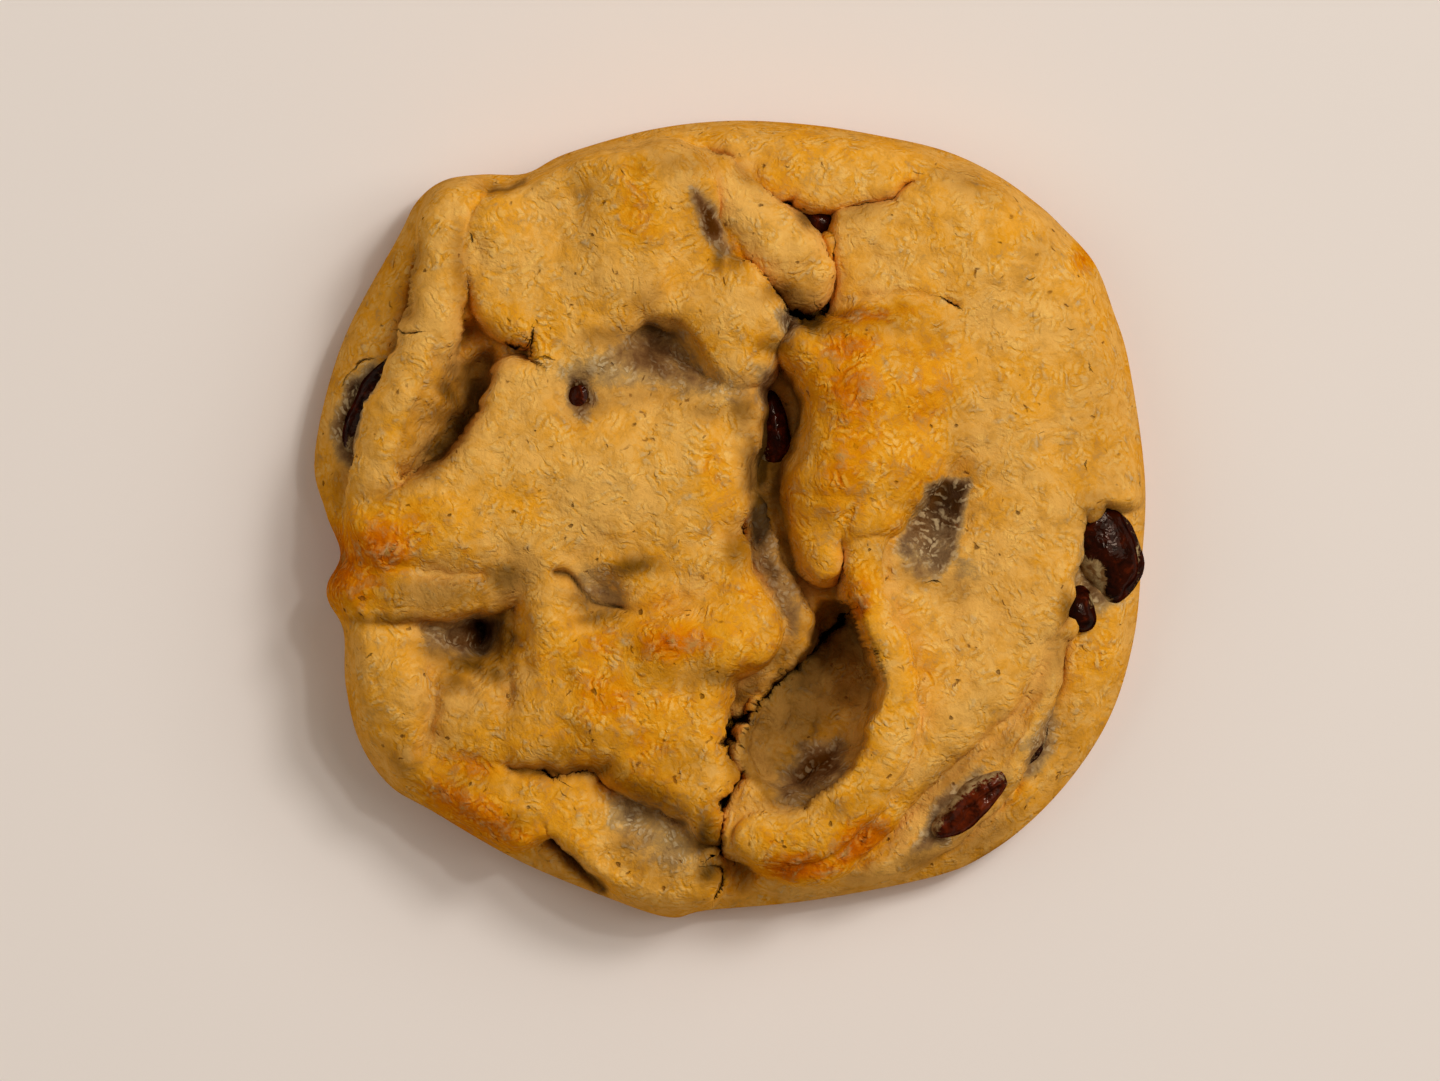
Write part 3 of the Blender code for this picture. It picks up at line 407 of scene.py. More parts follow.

# Painted shade: where the dough is darkened to stand for shade in hollows and creases, under lips and on
# slopes turned from the light: x, y, half width, half depth, turn in degrees, amount
shaded = [
    (-29, -7.2, 9, 2.2, 2, 0.62), (-22.4, -5.8, 2.8, 2.2, 0, 0.86), (-26, -14.8, 3.6, 1.5, 0, 0.94),
    (-22.9, -11.6, 1.7, 5, 0, 0.94), (-21.7, -17.6, 0.5, 2, 0, 0.5), (-33, -9.9, 6, 0.8, 0, 0.8),
    (-22, -18, 2.6, 4, 0, 0.4), (-28.4, -18.6, 3, 4, 0, 0.3), (-14.4, -8.4, 2.6, 1.4, -30, 0.7),
    (-9.4, -4.6, 3.2, 1.5, 0, 0.9), (-12.6, -7.8, 2, 1.1, -20, 0.66), (-10, -9, 5, 0.9, 8, 0.36),
    (4.6, 9, 1.8, 3.8, 0, 1.2), (3.4, 7, 1.3, 6, -6, 1.3), (2.8, 0, 1.6, 4.4, 0, 1.2),
    (0.6, -3, 1.6, 2.6, 10, 0.72), (4.6, 4, 1.6, 5, 0, 0.9), (5.8, -4, 1.6, 5.4, 20, 0.8),
    (10.4, -10.6, 1.4, 0.8, 30, 0.8), (9.4, -7.4, 2.4, 2, 0, 0.1), (5.8, -9, 1.6, 4, 25, 0.6),
    (5, -13.8, 3, 1.3, 40, 0.72), (1.6, -17.2, 3, 1.3, 40, 0.84), (7.8, -13.8, 3.4, 0.8, 42, 1),
    (0.4, -24, 1.2, 3, 0, 0.7), (-5, -16, 4, 1.2, -8, 0.4), (-8, -26.8, 6, 1.8, -28, 0.74),
    (-2.4, -31.6, 1.3, 3.6, 0, 0.94), (-2, -35, 1.8, 1.7, 0, 0.96), (-15, -24.9, 4, 0.7, -4, 0.8),
    (-32, -24, 3, 2, -30, 0.6), (-28, -25.6, 7, 1.4, -14, 0.4), (-21.4, -30.2, 1.8, 1.5, 0, 0.6),
    (-10, -32.2, 2, 1.3, 0, 0.6), (-17, -23, 3, 1.4, 0, 0.5), (-7.4, -35, 4.6, 2, -20, 0.44),
    (-5.6, -24.4, 4, 2.4, 10, 0.36), (-12, -21.6, 4, 1.2, -10, 0.4), (1, -35.4, 1.4, 2, 0, 0.7),
    (-15.6, -34.8, 4.6, 1, -44, 0.85), (25, -32, 5.4, 2.2, 30, 0.6), (19, -34, 3, 1.4, 20, 0.6),
    (16, -32.8, 3, 1.4, 30, 0.42), (33.6, -21.8, 3, 3, 0, 0.36), (22, -25.6, 4.4, 1.5, 40, 0.5),
    (27, -22.6, 4, 1.2, 50, 0.4), (32.6, -13, 1.2, 4.4, -12, 0.5), (33, -9, 0.9, 2.4, 0, 0.8),
    (36.4, 2.2, 2.8, 1.3, 8, 0.5), (12, -28.2, 5, 1.4, 20, 0.34), (4.6, -28.6, 3, 1.2, 0, 0.55),
    (8.2, 19.4, 2.2, 1.5, 0, 1.1), (15.6, 19.4, 4.6, 1.8, 4, 0.5), (20.4, 18, 3, 2.6, 0, 0.34),
    (14, 20.6, 6, 0.9, 8, 0.5), (5.8, 22.4, 3, 1.3, 0, 0.86), (9.2, 29, 1, 0.7, -40, 0.9),
    (0.2, 25.8, 0.8, 2.4, 40, 0.7), (-1.3, 26, 1, 2.2, 20, 0.84), (13, 30.4, 3, 0.9, 16, 0.5),
    (-5, 35.4, 6, 1.6, 0, 0.48), (24, 33.6, 5, 2, -24, 0.46), (31, 27, 2, 5, -30, 0.26),
    (-27, 25, 1.1, 5, 0, 0.56), (-31.4, 24, 0.6, 2.4, 12, 0.4), (-28.8, 6.2, 4.4, 1.3, 42, 0.95),
    (-28.2, 12.6, 1.2, 2.4, 12, 0.9), (-34, 2.6, 3, 1.4, 20, 0.44), (-12.4, 18, 3, 1.3, 0, 0.6),
    (-10, 12.2, 7, 1.3, 4, 0.46), (-14, 11, 3.4, 1.6, 20, 0.5), (1.2, 10.8, 1.5, 3, 0, 0.74),
    (-8, 22.6, 2.2, 1.6, 0, 0.38), (-2.4, 29.4, 1.4, 4.6, 20, 0.74), (18.6, -5.8, 3.4, 1.3, -20, 0.46),
    (15, -3, 1.8, 3, 0, 0.34), (22, -7, 2.6, 2, -30, 0.5), (18.4, 1, 1.4, 4, 10, 0.3),
    (22.8, 10, 1.6, 6, 0, 0.3), (-23.4, 33.2, 2.4, 0.9, 0, 0.6), (-40.4, 8, 2.4, 10, 0, 0.2),
    (-39, 3, 1.6, 4, 0, 0.4), (28, 2, 9, 26, 0, 0.1), (-29, -13.8, 3, 1.2, -20, 0.76),
    (-27.6, -16.4, 2.2, 1.6, 0, 0.76), (-13, -9.8, 3, 1.1, 0, 0.76), (-23.2, -15.4, 1.6, 1.6, 0, 0.9),
    (-36.4, -27.6, 7, 2.4, -42, 0.6), (10, 18.7, 3.4, 1, 10, 0.6), (17, 16.6, 3, 2, 0, 0.3),
    (5, -15.8, 3, 1, 38, 0.8), (-1.4, -15.8, 3, 1.2, -8, 0.7), (4.4, 17.3, 2.2, 1.3, 0, 0.84),
    (-2.4, 10.6, 2, 1.4, 0, 0.6), (1.7, 4.4, 1, 6, 0, 0.84), (4.1, -5, 1.1, 3, 15, 0.8),
    (7.3, 29.6, 1.3, 0.8, -40, 0.9), (26, -33.6, 4, 1, 34, 0.64), (36.6, 1, 2.6, 0.9, 8, 0.66),
    (1.6, 34, 2.6, 1, -45, 0.5), (-35, -5.6, 3, 1.4, 0, 0.3), (-25, -3.4, 4, 1.2, 0, 0.3),
    (-26.6, 7.6, 2, 1, 50, 0.5), (37, 8, 5, 18, 0, 0.26), (-26.4, 21.4, 0.8, 2, 0, 0.3),
]

# Where only a film of dough lies over a chip: an edge of x, y, how strongly the chip shows through at x, y,
# and, on a flank, the height above which it doesn't
chipFilms = {
    "besideDome": {
        "edge": [(19.5, 3.2), (21.4, 4), (23.8, 3.4), (23.4, 0.6), (22.7, -3), (20.7, -5.8), (18.6, -6),
                 (16.4, -3.4), (18.2, 0)],
        "shows": [(21.6, 2.6, 0.88), (20.4, 0, 0.66), (19.4, -2, 0.56), (21, -3.4, 0.54),
                  (18.6, -4.6, 0.46)],
        "soft": 1,
    },
    "leftPit": {
        "edge": [(-30.6, -10.4), (-25, -9.7), (-23.4, -10.6), (-24.2, -13.4), (-27, -13.8),
                 (-30.2, -12.8)],
        "shows": [(-25, -11, 1), (-27.4, -11.6, 0.6), (-29.6, -11.4, 0.46), (-25, -13.4, 0.7)],
        "soft": 1.8,
    },
    "leftFlank": {
        "edge": [(-35.6, 16), (-34.4, 14.6), (-35.4, 11.8), (-36.8, 8.8), (-37.6, 5), (-39.4, 6),
                 (-40, 9.6), (-38.4, 13.6)],
        "shows": [(-35.6, 13, 1), (-37, 9, 0.85), (-39, 8, 0.5), (-37.6, 12.4, 0.7), (-37, 15, 0.55)],
        "soft": 1.2, "top": 12.5,
    },
    "pocketFloor": {
        "edge": [(4.6, -26.8), (7.4, -23.4), (10.6, -22.8), (10.8, -25), (8.6, -27), (5.6, -28.4)],
        "shows": [(8.6, -24.8, 0.94), (6, -26.8, 0.6)],
        "soft": 2.6,
    },
    "frontTongue": {
        "edge": [(-11.6, -27.8), (-7, -28.4), (-3.4, -31), (-2.8, -34), (-5.6, -35.4), (-9, -32.8),
                 (-11.6, -30)],
        "shows": [(-10.4, -28.8, 0.48), (-8.6, -31, 0.26), (-7, -29.2, 0.3), (-5.6, -30.6, 0.26),
                  (-5, -33.4, 0.24), (-7, -33, 0.26)],
        "soft": 2.4,
    },
    "underArch": {
        "edge": [(-17.4, 15), (-12, 17), (-8, 19.4), (-5.4, 18), (-2, 14.6), (2, 13.4), (1, 12),
                 (-4, 12.6), (-9, 13.6), (-16, 13)],
        "shows": [(-7.4, 17.6, 0.5), (-12, 15, 0.34), (-4, 14, 0.32), (1, 13, 0.3), (-16, 14, 0.3)],
        "soft": 2.4,
    },
    "onPlateau": {
        "edge": [(-16, 14.2), (-14.6, 13.8), (-13.6, 11.8), (-14.4, 9.6), (-15.8, 11)],
        "shows": [(-15, 12.6, 1), (-15, 10, 0.5)],
        "soft": 1.2,
    },
    "besideGroove": {
        "edge": [(-4.2, 33), (-2.8, 32.6), (-1.2, 29.4), (-0.2, 26), (-1.4, 26), (-3, 29)],
        "shows": [(-2, 29.6, 0.9), (-3.6, 32.4, 0.6), (-0.8, 26.4, 0.4)],
        "soft": 1,
    },
    "behindGroove": {
        "edge": [(-15.6, 33), (-14, 33), (-13.4, 26.4), (-15.2, 26)],
        "shows": [(-15, 30, 0.06)],
        "soft": 1.6,
    },
    "middlePit": {
        "edge": [(-15.2, -5.2), (-12, -4.8), (-10.4, -6), (-10.8, -8.4), (-13, -8.8), (-15, -7)],
        "shows": [(-12.6, -7.6, 0.4), (-13.8, -6, 0.32), (-11.4, -5.8, 0.2)],
        "soft": 2,
    },
    "rightChipFoot": {
        "edge": [(35.2, -2.6), (36.4, -2.4), (37.4, -7), (38.6, -8.4), (35.8, -8.8), (34.6, -6.6)],
        "shows": [(36, -6, 0.6)],
        "soft": 2,
    },
    "frontRightMargin": {
        "edge": [(21, -27.6), (24.6, -25), (25.4, -25.8), (21.4, -29.4), (21.6, -32), (18.4, -33.4),
                 (19.4, -31)],
        "shows": [(22.6, -27, 0.5), (20.6, -32.2, 0.6)],
        "soft": 1,
    },
    "frontSmallMargin": {
        "edge": [(32, -19.4), (32.6, -20.6), (31.6, -23.6), (30, -25.6), (30, -22.6)],
        "shows": [(31.4, -21, 0.6), (30.8, -23.4, 0.7)],
        "soft": 2,
    },
    "tornLedge": {
        "edge": [(1.4, 1), (3, 1), (4.6, -4), (7, -9), (6.4, -11.6), (4.6, -8), (2.6, -4)],
        "shows": [(2.6, -2, 0.42), (5.6, -8, 0.36)],
        "soft": 1.2,
    },
    "domeShoulder": {
        "edge": [(4.4, 20.4), (6, 20.8), (6.8, 18.8), (5, 17.8)],
        "shows": [(5.6, 19.4, 0.7)],
        "soft": 1,
    },
    "crevice": {
        "edge": [(2.4, 15), (4.4, 15), (4.2, 11.6), (2.8, 11)],
        "shows": [(3.6, 13.4, 0.36)],
        "soft": 1,
    },
    "onSlab": {
        "edge": [(22.4, -4.4), (24.6, -4.6), (24.4, -6), (22.6, -5.8)],
        "shows": [(23.4, -5, 0.34)],
        "soft": 1.4,
    },
}

# Short fine cracks in the skin: x, y and half the width
skinCracks = [
    [(-17, -26, 0.05), (-16.8, -27, 0.16), (-16.1, -27.7, 0.05)],
    [(24, 16.2, 0.04), (24.5, 15.7, 0.12), (24.4, 15, 0.04)],
    [(24.2, 12.6, 0.04), (25, 12.1, 0.1), (25.9, 12.2, 0.04)],
    [(35.6, 6, 0.04), (35.2, 5.4, 0.14), (35.4, 4.8, 0.04)],
    [(35.2, 16.6, 0.03), (35.8, 15, 0.1), (36.9, 13.8, 0.03)],
    [(30.4, 8.4, 0.03), (31, 8.9, 0.1), (31.7, 8.9, 0.03)],
    [(18.8, -6.6, 0.04), (20, -6.2, 0.12), (21.1, -6.5, 0.04)],
    [(22.5, -8.8, 0.04), (22.4, -10, 0.1), (22.8, -11, 0.04)],
    [(34.4, 0.1, 0.05), (35.2, -0.4, 0.14), (36, -0.2, 0.05)],
    [(-36.2, -14, 0.05), (-35.6, -13.4, 0.16), (-35.2, -13.2, 0.05)],
    [(-19.2, 15.9, 0.06), (-18.2, 16.2, 0.12), (-17, 15.9, 0.04)],
    [(-26, 28.6, 0.04), (-25.6, 28, 0.16), (-25.7, 27.4, 0.04)],
    [(-13.2, 1.7, 0.03), (-12.5, 1.4, 0.12), (-12, 1.6, 0.03)],
    [(-8.2, 7.3, 0.03), (-7.9, 6.7, 0.12), (-8.3, 6.3, 0.03)],
    [(33.2, 19.3, 0.03), (33.9, 18.9, 0.13), (34.6, 19, 0.03)],
    [(29, 24.2, 0.03), (29.7, 23.8, 0.12), (30.6, 24.3, 0.03)],
    [(18.2, 35, 0.03), (18.8, 34.5, 0.12), (19.8, 34.6, 0.03)],
    [(-25.2, -19.2, 0.03), (-24.6, -19.5, 0.12), (-24.2, -19.2, 0.03)],
    [(-3, -37.4, 0.03), (-3.8, -36.4, 0.12), (-3.4, -35.6, 0.03)],
    [(32.8, -25, 0.03), (33.2, -25.6, 0.1), (32.9, -26.2, 0.03)],
    [(-39.3, 13, 0.04), (-38.6, 14, 0.14), (-36.8, 15.9, 0.2), (-35.4, 16.3, 0.06)],
    [(-38, 9.2, 0.05), (-37.6, 7.6, 0.18), (-37.4, 5.6, 0.06)],
]


# Shapes from the lists above. x, y and z are flat arrays of places, in millimetres.

def smoothCurve(points, closed):
    # A line that runs smoothly through the points, in short steps; their other values go along
    p = np.array(points, float)
    if closed:
        before, after, beyond = np.roll(p, 1, 0), np.roll(p, -1, 0), np.roll(p, -2, 0)
    else:
        p = np.vstack([2 * p[0] - p[1], p, 2 * p[-1] - p[-2]])
        before, p, after, beyond = p[:-3], p[1:-2], p[2:-1], p[3:]
    t = np.linspace(0, 1, dough["curveSteps"], endpoint=False)[:, None, None]
    bend = 2 * before - 5 * p + 4 * after - beyond
    twist = 3 * p - before - 3 * after + beyond
    curve = p + 0.5 * ((after - before) * t + bend * t**2 + twist * t**3)
    curve = curve.transpose(1, 0, 2).reshape(-1, p.shape[1])
    return curve if closed else np.vstack([curve, after[-1]])


def stretchDistance(x, y, a, b):
    # To the stretch from a to b: distance, share of the way along it, and the side, above 0 on its left
    dx, dy = b[:2] - a[:2]
    t = np.clip(((x - a[0]) * dx + (y - a[1]) * dy) / (dx * dx + dy * dy), 0, 1)
    offX, offY = x - a[0] - t * dx, y - a[1] - t * dy
    return np.hypot(offX, offY), t, dx * offY - dy * offX


def nearestOn(x, y, curve, closed):
    # Distance to a curve, the curve's values at the nearest place, and the side, 1 on its left
    starts = curve if closed else curve[:-1]
    ends = np.roll(curve, -1, 0) if closed else curve[1:]
    nearest = np.full(x.shape, np.inf)
    values = np.zeros(x.shape + (curve.shape[1],))
    side = np.ones(x.shape)
    for a, b in zip(starts, ends):
        distance, t, left = stretchDistance(x, y, a, b)
        nearer = distance < nearest
        nearest = np.where(nearer, distance, nearest)
        values = np.where(nearer[..., None], a + t[..., None] * (b - a), values)
        side = np.where(nearer, np.sign(left), side)
    return nearest, values, side


def isInside(x, y, curve):
    inside = np.zeros(x.shape, bool)
    for a, b in zip(curve, np.roll(curve, -1, 0)):
        spans = (a[1] > y) != (b[1] > y)
        if a[1] != b[1]:
            inside ^= spans & (x < (b[0] - a[0]) * (y - a[1]) / (b[1] - a[1]) + a[0])
    return inside


def isNear(x, y, points, reach):
    p = np.array(points, float)
    return ((x > p[:, 0].min() - reach) & (x < p[:, 0].max() + reach)
            & (y > p[:, 1].min() - reach) & (y < p[:, 1].max() + reach))


def edgeDrop(x, y, edge, profile, steepness):
    # How far a fold has dropped near its edge, or a hollow's floor has risen: the most that any stretch of
    # the edge, with its own roundness, asks for
    curve = smoothCurve(edge, True)
    most = np.zeros_like(x)
    nearest = np.full(x.shape, np.inf)
    for a, b in zip(curve, np.roll(curve, -1, 0)):
        distance, t, _ = stretchDistance(x, y, a, b)
        roundness = a[2] + t * (b[2] - a[2])
        most = np.maximum(most, roundness * profile(np.clip(distance / roundness, 0, 1)))
        nearest = np.minimum(nearest, distance)
    return most + np.where(isInside(x, y, curve), 0, steepness * nearest)


def roundProfile(share):
    return 1 - np.sqrt(1 - (1 - share) ** 2)


def softProfile(share):
    return 0.5 + 0.5 * np.cos(math.pi * share)


def valueBetween(x, y, spots, reach):
    # A value that goes softly from one stated spot's to the next one's
    total, weights = np.zeros_like(x), np.zeros_like(x)
    for spotX, spotY, value in spots:
        weight = 1 / (((x - spotX) ** 2 + (y - spotY) ** 2) / reach**2 + 0.25) ** 2
        total += weight * value
        weights += weight
    return total / weights


def smoothMax(a, b, softness):
    h = np.clip(0.5 + 0.5 * (a - b) / softness, 0, 1)
    return b + (a - b) * h + softness * h * (1 - h)


def blob(x, y, middleX, middleY, halfWidth, halfDepth, turn, power=1):
    c, s = math.cos(math.radians(turn)), math.sin(math.radians(turn))
    across = ((x - middleX) * c + (y - middleY) * s) / halfWidth
    along = ((y - middleY) * c - (x - middleX) * s) / halfDepth
    return np.exp(-((across**2 + along**2) ** power))


def strongestBlob(x, y, spots):
    amount = np.zeros_like(x)
    for *place, most in spots:
        amount = np.maximum(amount, most * blob(x, y, *place, dough["blobPower"]))
    return amount


def creaseLevel(x, y, crease):
    # 1 in the crease, falling off beside it, and the places near enough to count
    near = isNear(x, y, crease["line"], 4 * crease["width"])
    distance, _, _ = nearestOn(x[near], y[near], smoothCurve(crease["line"], False), False)
    return near, np.exp(-((distance / crease["width"]) ** 2))


def shadeAndFilmLevel(x, y, z, patches):
    # For a hollow, how strongly the painted shade on its floor shows; for a chip film, how strongly the chip
    # shows
    amount = np.zeros_like(x)
    for patch in patches.values():
        near = isNear(x, y, patch["edge"], patch["soft"] + 0.5)
        curve = np.array(patch["edge"], float)[:, :2]
        distance, _, _ = nearestOn(x[near], y[near], curve, True)
        depth = np.where(isInside(x[near], y[near], curve), distance, -distance) + patch.get("reach", 0)
        shows = valueBetween(x[near], y[near], patch["shows"], dough["showReach"])
        shows *= np.clip(0.5 + depth / patch["soft"], 0, 1)
        if "top" in patch:
            shows *= np.clip(patch["top"] - z[near], 0, 1)
        amount[near] = np.maximum(amount[near], shows)
    return amount


def noiseAt(x, y, z, size, seed):
    # Smooth noise, -1 to 1, with features of about this size
    places = np.stack([x / size + seed, y / size - seed, z / size + 0.37 * seed], 1)
    return np.array([noise.noise(Vector(p)) for p in places])


def foldHeight(x, y, fold):
    steep = dough["lipSteepness"]
    if "edge" in fold:
        drop = edgeDrop(x, y, fold["edge"], roundProfile, steep)
        return valueBetween(x, y, fold["heights"], dough["heightReach"]) - fold["drop"] * drop
    distance, values, _ = nearestOn(x, y, smoothCurve(fold["spine"], False), False)
    halfWidth, top = values[..., 2], values[..., 3]
    depth = halfWidth - distance
    drop = halfWidth * roundProfile(np.clip(depth / halfWidth, 0, 1)) + steep * np.maximum(-depth, 0)
    return top - fold["drop"] * drop


def surfaceHeight(x, y):
    # Height of the dough's upper surface, depth inside the outline, and how brown the fold on top is
    rim = smoothCurve(outline, True)
    rimDepth, values, _ = nearestOn(x, y, rim, True)
    rimDepth = np.where(isInside(x, y, rim), rimDepth, -rimDepth)
    low = dough["equator"]
    flank = np.sqrt(1 - (1 - np.clip(rimDepth / values[..., 2], 0, 1)) ** 2)
    z = low + (valueBetween(x, y, bodyHeights, dough["heightReach"]) - low) * flank
    brown = np.full_like(x, dough["bodyBrowned"])
    for fold in folds.values():
        near = isNear(x, y, fold.get("edge") or fold["spine"], dough["foldMargin"])
        top = foldHeight(x[near], y[near], fold)
        isTop = np.clip(0.5 + (top - z[near]) / (dough["brownBlend"] * fold["blend"]), 0, 1)
        brown[near] += (fold["browned"] - brown[near]) * isTop
        z[near] = smoothMax(z[near], top, fold["blend"])
    for hollow in hollows.values():
        near = isNear(x, y, hollow["edge"], dough["hollowMargin"])
        floor = valueBetween(x[near], y[near], hollow["heights"], dough["floorReach"])
        floor += hollow["drop"] * edgeDrop(x[near], y[near], hollow["edge"], softProfile, hollow["steep"])
        z[near] = -smoothMax(-z[near], -floor, hollow["blend"])
    for *place, height in swells:
        z += height * blob(x, y, *place)
    for crease in creases:
        near, level = creaseLevel(x, y, crease)
        z[near] -= crease["depth"] * level
    rimRound = np.sqrt(1 - (1 - np.clip(rimDepth / dough["rimRoll"], 0, 1)) ** 2)
    return low + (np.maximum(z, low + dough["rimStep"]) - low) * rimRound, rimDepth, brown


def outlineRadius(angle):
    curve = smoothCurve(outline, True)
    angles = np.arctan2(curve[:, 1], curve[:, 0])
    order = np.argsort(angles)
    return np.interp(angle, angles[order], np.hypot(curve[order, 0], curve[order, 1]), period=2 * math.pi)


def baseRadius(angle):
    turns = np.linspace(-dough["baseEvenness"], dough["baseEvenness"], 9)
    return np.mean([outlineRadius(angle + turn) for turn in turns], 0) - dough["footRoll"]


def discGrid(steps):
    # A square grid bent to a disc: shares of the radius and headings
    side = np.linspace(-1, 1, steps + 1)
    a, b = np.meshgrid(side, side)
    wide = np.abs(a) > np.abs(b)
    share = np.where(wide, a, b)
    safe = np.where(share == 0, 1, share)
    heading = np.where(wide, math.pi / 4 * b / safe, math.pi / 2 - math.pi / 4 * a / safe)
    heading = np.where(share < 0, heading + math.pi, heading)
    return np.abs(share), heading


def smoothGrid(values, steps):
    for _ in range(steps):
        wide = np.pad(values, 1, mode="edge")
        beside = wide[:-2, 1:-1] + wide[2:, 1:-1] + wide[1:-1, :-2] + wide[1:-1, 2:]
        values = (beside + 4 * values) / 8
    return values


def crackFields(x, y):
    # Signed distance to the nearest crack, how wide it is open, its depth, and how strongly painted shade
    # darkens it
    side, opening = np.full_like(x, dough["noCrack"]), np.zeros_like(x)
    depth, shadeStrength = np.zeros_like(x), np.zeros_like(x)
    fine = [{"line": line, **dough["skinCrack"]} for line in skinCracks]
    for crack in list(cracks.values()) + fine:
        near = isNear(x, y, crack["line"], dough["crackMargin"])
        curve = smoothCurve(crack["line"], False)
        distance, values, hand = nearestOn(x[near], y[near], curve, False)
        nearer = distance < np.abs(side[near])
        side[near] = np.where(nearer, distance * hand, side[near])
        isOpen = nearer & (distance < dough["crackMargin"])
        opening[near] = np.where(isOpen, values[..., 2], opening[near])
        shadeStrength[near] = np.where(nearer, crack["shadeStrength"], shadeStrength[near])
        depth[near] = np.where(nearer, crack["depth"], depth[near])
    return side, opening, depth, shadeStrength


# Materials

def hexColour(text):
    # sRGB hex to linear
    channels = [int(text[i:i + 2], 16) / 255 for i in (1, 3, 5)]
    return [c / 12.92 if c <= 0.04045 else ((c + 0.055) / 1.055) ** 2.4 for c in channels] + [1]


def setInputs(tree, node, inputs):
    # Each is an output socket to link, a hex colour or a value
    for key, value in inputs.items() if isinstance(inputs, dict) else enumerate(inputs):
        if isinstance(value, bpy.types.NodeSocket):
            tree.links.new(value, node.inputs[key])
        else:
            node.inputs[key].default_value = hexColour(value) if isinstance(value, str) else value


def addNode(tree, kind, inputs=(), output=0, stops=(), **settings):
    # A shader node with its settings and links, and one of its outputs. The kind's operation may follow it.
    kind, _, operation = kind.partition(" ")
    node = tree.nodes.new("ShaderNode" + kind)
    if operation:
        node.operation = operation
    for key, value in settings.items():
        setattr(node, key, value)
    setInputs(tree, node, inputs)
    for _ in stops[2:]:
        node.color_ramp.elements.new(0.5)
    for i, (place, colour) in enumerate(stops):
        node.color_ramp.elements[i].position = place
        node.color_ramp.elements[i].color = hexColour(colour)
    return node.outputs[output]


def newMaterial(name):
    material = bpy.data.materials.new(name)
    material.use_nodes = True
    tree = material.node_tree
    return material, tree, partial(addNode, tree)


# Butter dough, baked until golden. High places brown first, and painted shade darkens hollows, creases and
# slopes turned from the light. The sugar and fat leave a finely wrinkled skin with a dull sheen, small burst
# bubbles and short cracks, and the crests of its ripples carry a painted highlight.
bakedDough = {
    "noises": {    # a scale is one over the size in millimetres
        "patches": {"Scale": 1 / 5.5, "Detail": 3, "Roughness": 0.55},
        "mottle": {"Scale": 1 / 1.5, "Detail": 4, "Roughness": 0.6, "Distortion": 0.4},
        "wrinkle": {"Scale": 1 / 0.62, "Detail": 3, "Roughness": 0.6, "Distortion": 1.4},
        "bend": {"Scale": 1 / 1.2, "Distortion": 0.6},
        "break": {"Scale": 1 / 0.7, "Detail": 1, "Distortion": 0.5},
        "ragged": {"Scale": 1 / 0.4, "Detail": 3, "Roughness": 0.7},
        "scarce": {"Scale": 1 / 1.2, "Detail": 1},
    },
    "levels": {    # what each pattern adds to an attribute: amount and offset
        "browned": {"patches": (0.75, -0.38), "mottle": (0.8, -0.4), "wrinkle": (0.3, -0.15),
                    # the ripples lighten their crests and brown their troughs: painted highlight and painted
                    # shade
                    "ripples": (-0.13, 0)},
        "film": {"mottle": (0.7, -0.35), "wrinkle": (0.3, -0.15)},
        "shaded": {"mottle": (0.3, -0.15)},
    },
    "crust": [(0, "#edb156"), (0.25, "#eda122"), (0.45, "#e48e08"), (0.62, "#da7802"), (0.82, "#c25c00"),
              (1, "#843a00")],
    "filmed": [(0.1, "#d09e50"), (0.3, "#b28c54"), (0.5, "#7c6040"), (0.75, "#3c281a"), (1, "#1c0d05")],
    # colours of the painted shade, from light to deep
    "paintedShade": [(0, "#b06a04"), (0.5, "#743e02"), (1, "#281202")],
    "paintedShadeCover": 0.9,
    # painted highlight on the ripples' crests; on a film partly pale strands and partly painted highlight
    "ridgeHighlightColour": "#fcc864", "filmStrandAndHighlightColour": "#d0b688",
    # near black crack colour: painted shade inside open cracks
    "crack": "#1c0d05", "bubble": "#5a2e0a", "hairline": "#7a3e0a",
    "bunchSize": 2.2, "rippleSpacing": 0.72, "rippleBend": 1.4,    # millimetres
    "bunchPlaces": [(0, 0, 0), (31.7, 12.9, 45.1)],
    "rippleSharp": 2.2, "ridgeFrom": 0.2, "ridgeGain": 1.1,
    "straySize": 0.9, "strayReach": 0.9, "bubbleSpacing": 2.1, "seamSpacing": 3.4,    # millimetres
    "bubbleChance": 0.4, "bubbleSharp": 16, "hairlineHalf": 0.034, "hairlineSharp": 40, "crackSharp": 6,
    "markCover": 0.7, "filmSharp": 5,
    "slopes": {    # amount of a level and what is added to it
        "bunchFade": (-2.4, 1.6), "unbroken": (5, -1.7), "ragged": (0.5, -0.25), "opening": (1.2, -0.06),
        # how much painted highlight the ripples' crests get, on crust and on film
        "bubbleSize": (0.1, 0.06), "isCracked": (10, -6.5), "ridgeHighlight": (-0.3, 0.38),
        "filmStrandsAndHighlight": (-0.36, 0.9), "faceUp": (3.4, -2.2), "roughness": (0.3, 0.12), "sheen": (0.2, 0.03),
    },
    "relief": {"wrinkle": 0.07, "mottle": 0.3, "ripples": 0.036, "bubble": -0.15, "hairline": -0.12,
               "crack": -0.4},
    "sheenTint": "#ffcf86", "ior": 1.5,
}


def millimetres(tree):
    place = addNode(tree, "TexCoord", output="Object")
    return addNode(tree, "VectorMath SCALE", {0: place, "Scale": 1000})


def upward(tree):
    # How far the surface faces up
    return addNode(tree, "SeparateXYZ", [addNode(tree, "NewGeometry", output="Normal")], "Z")


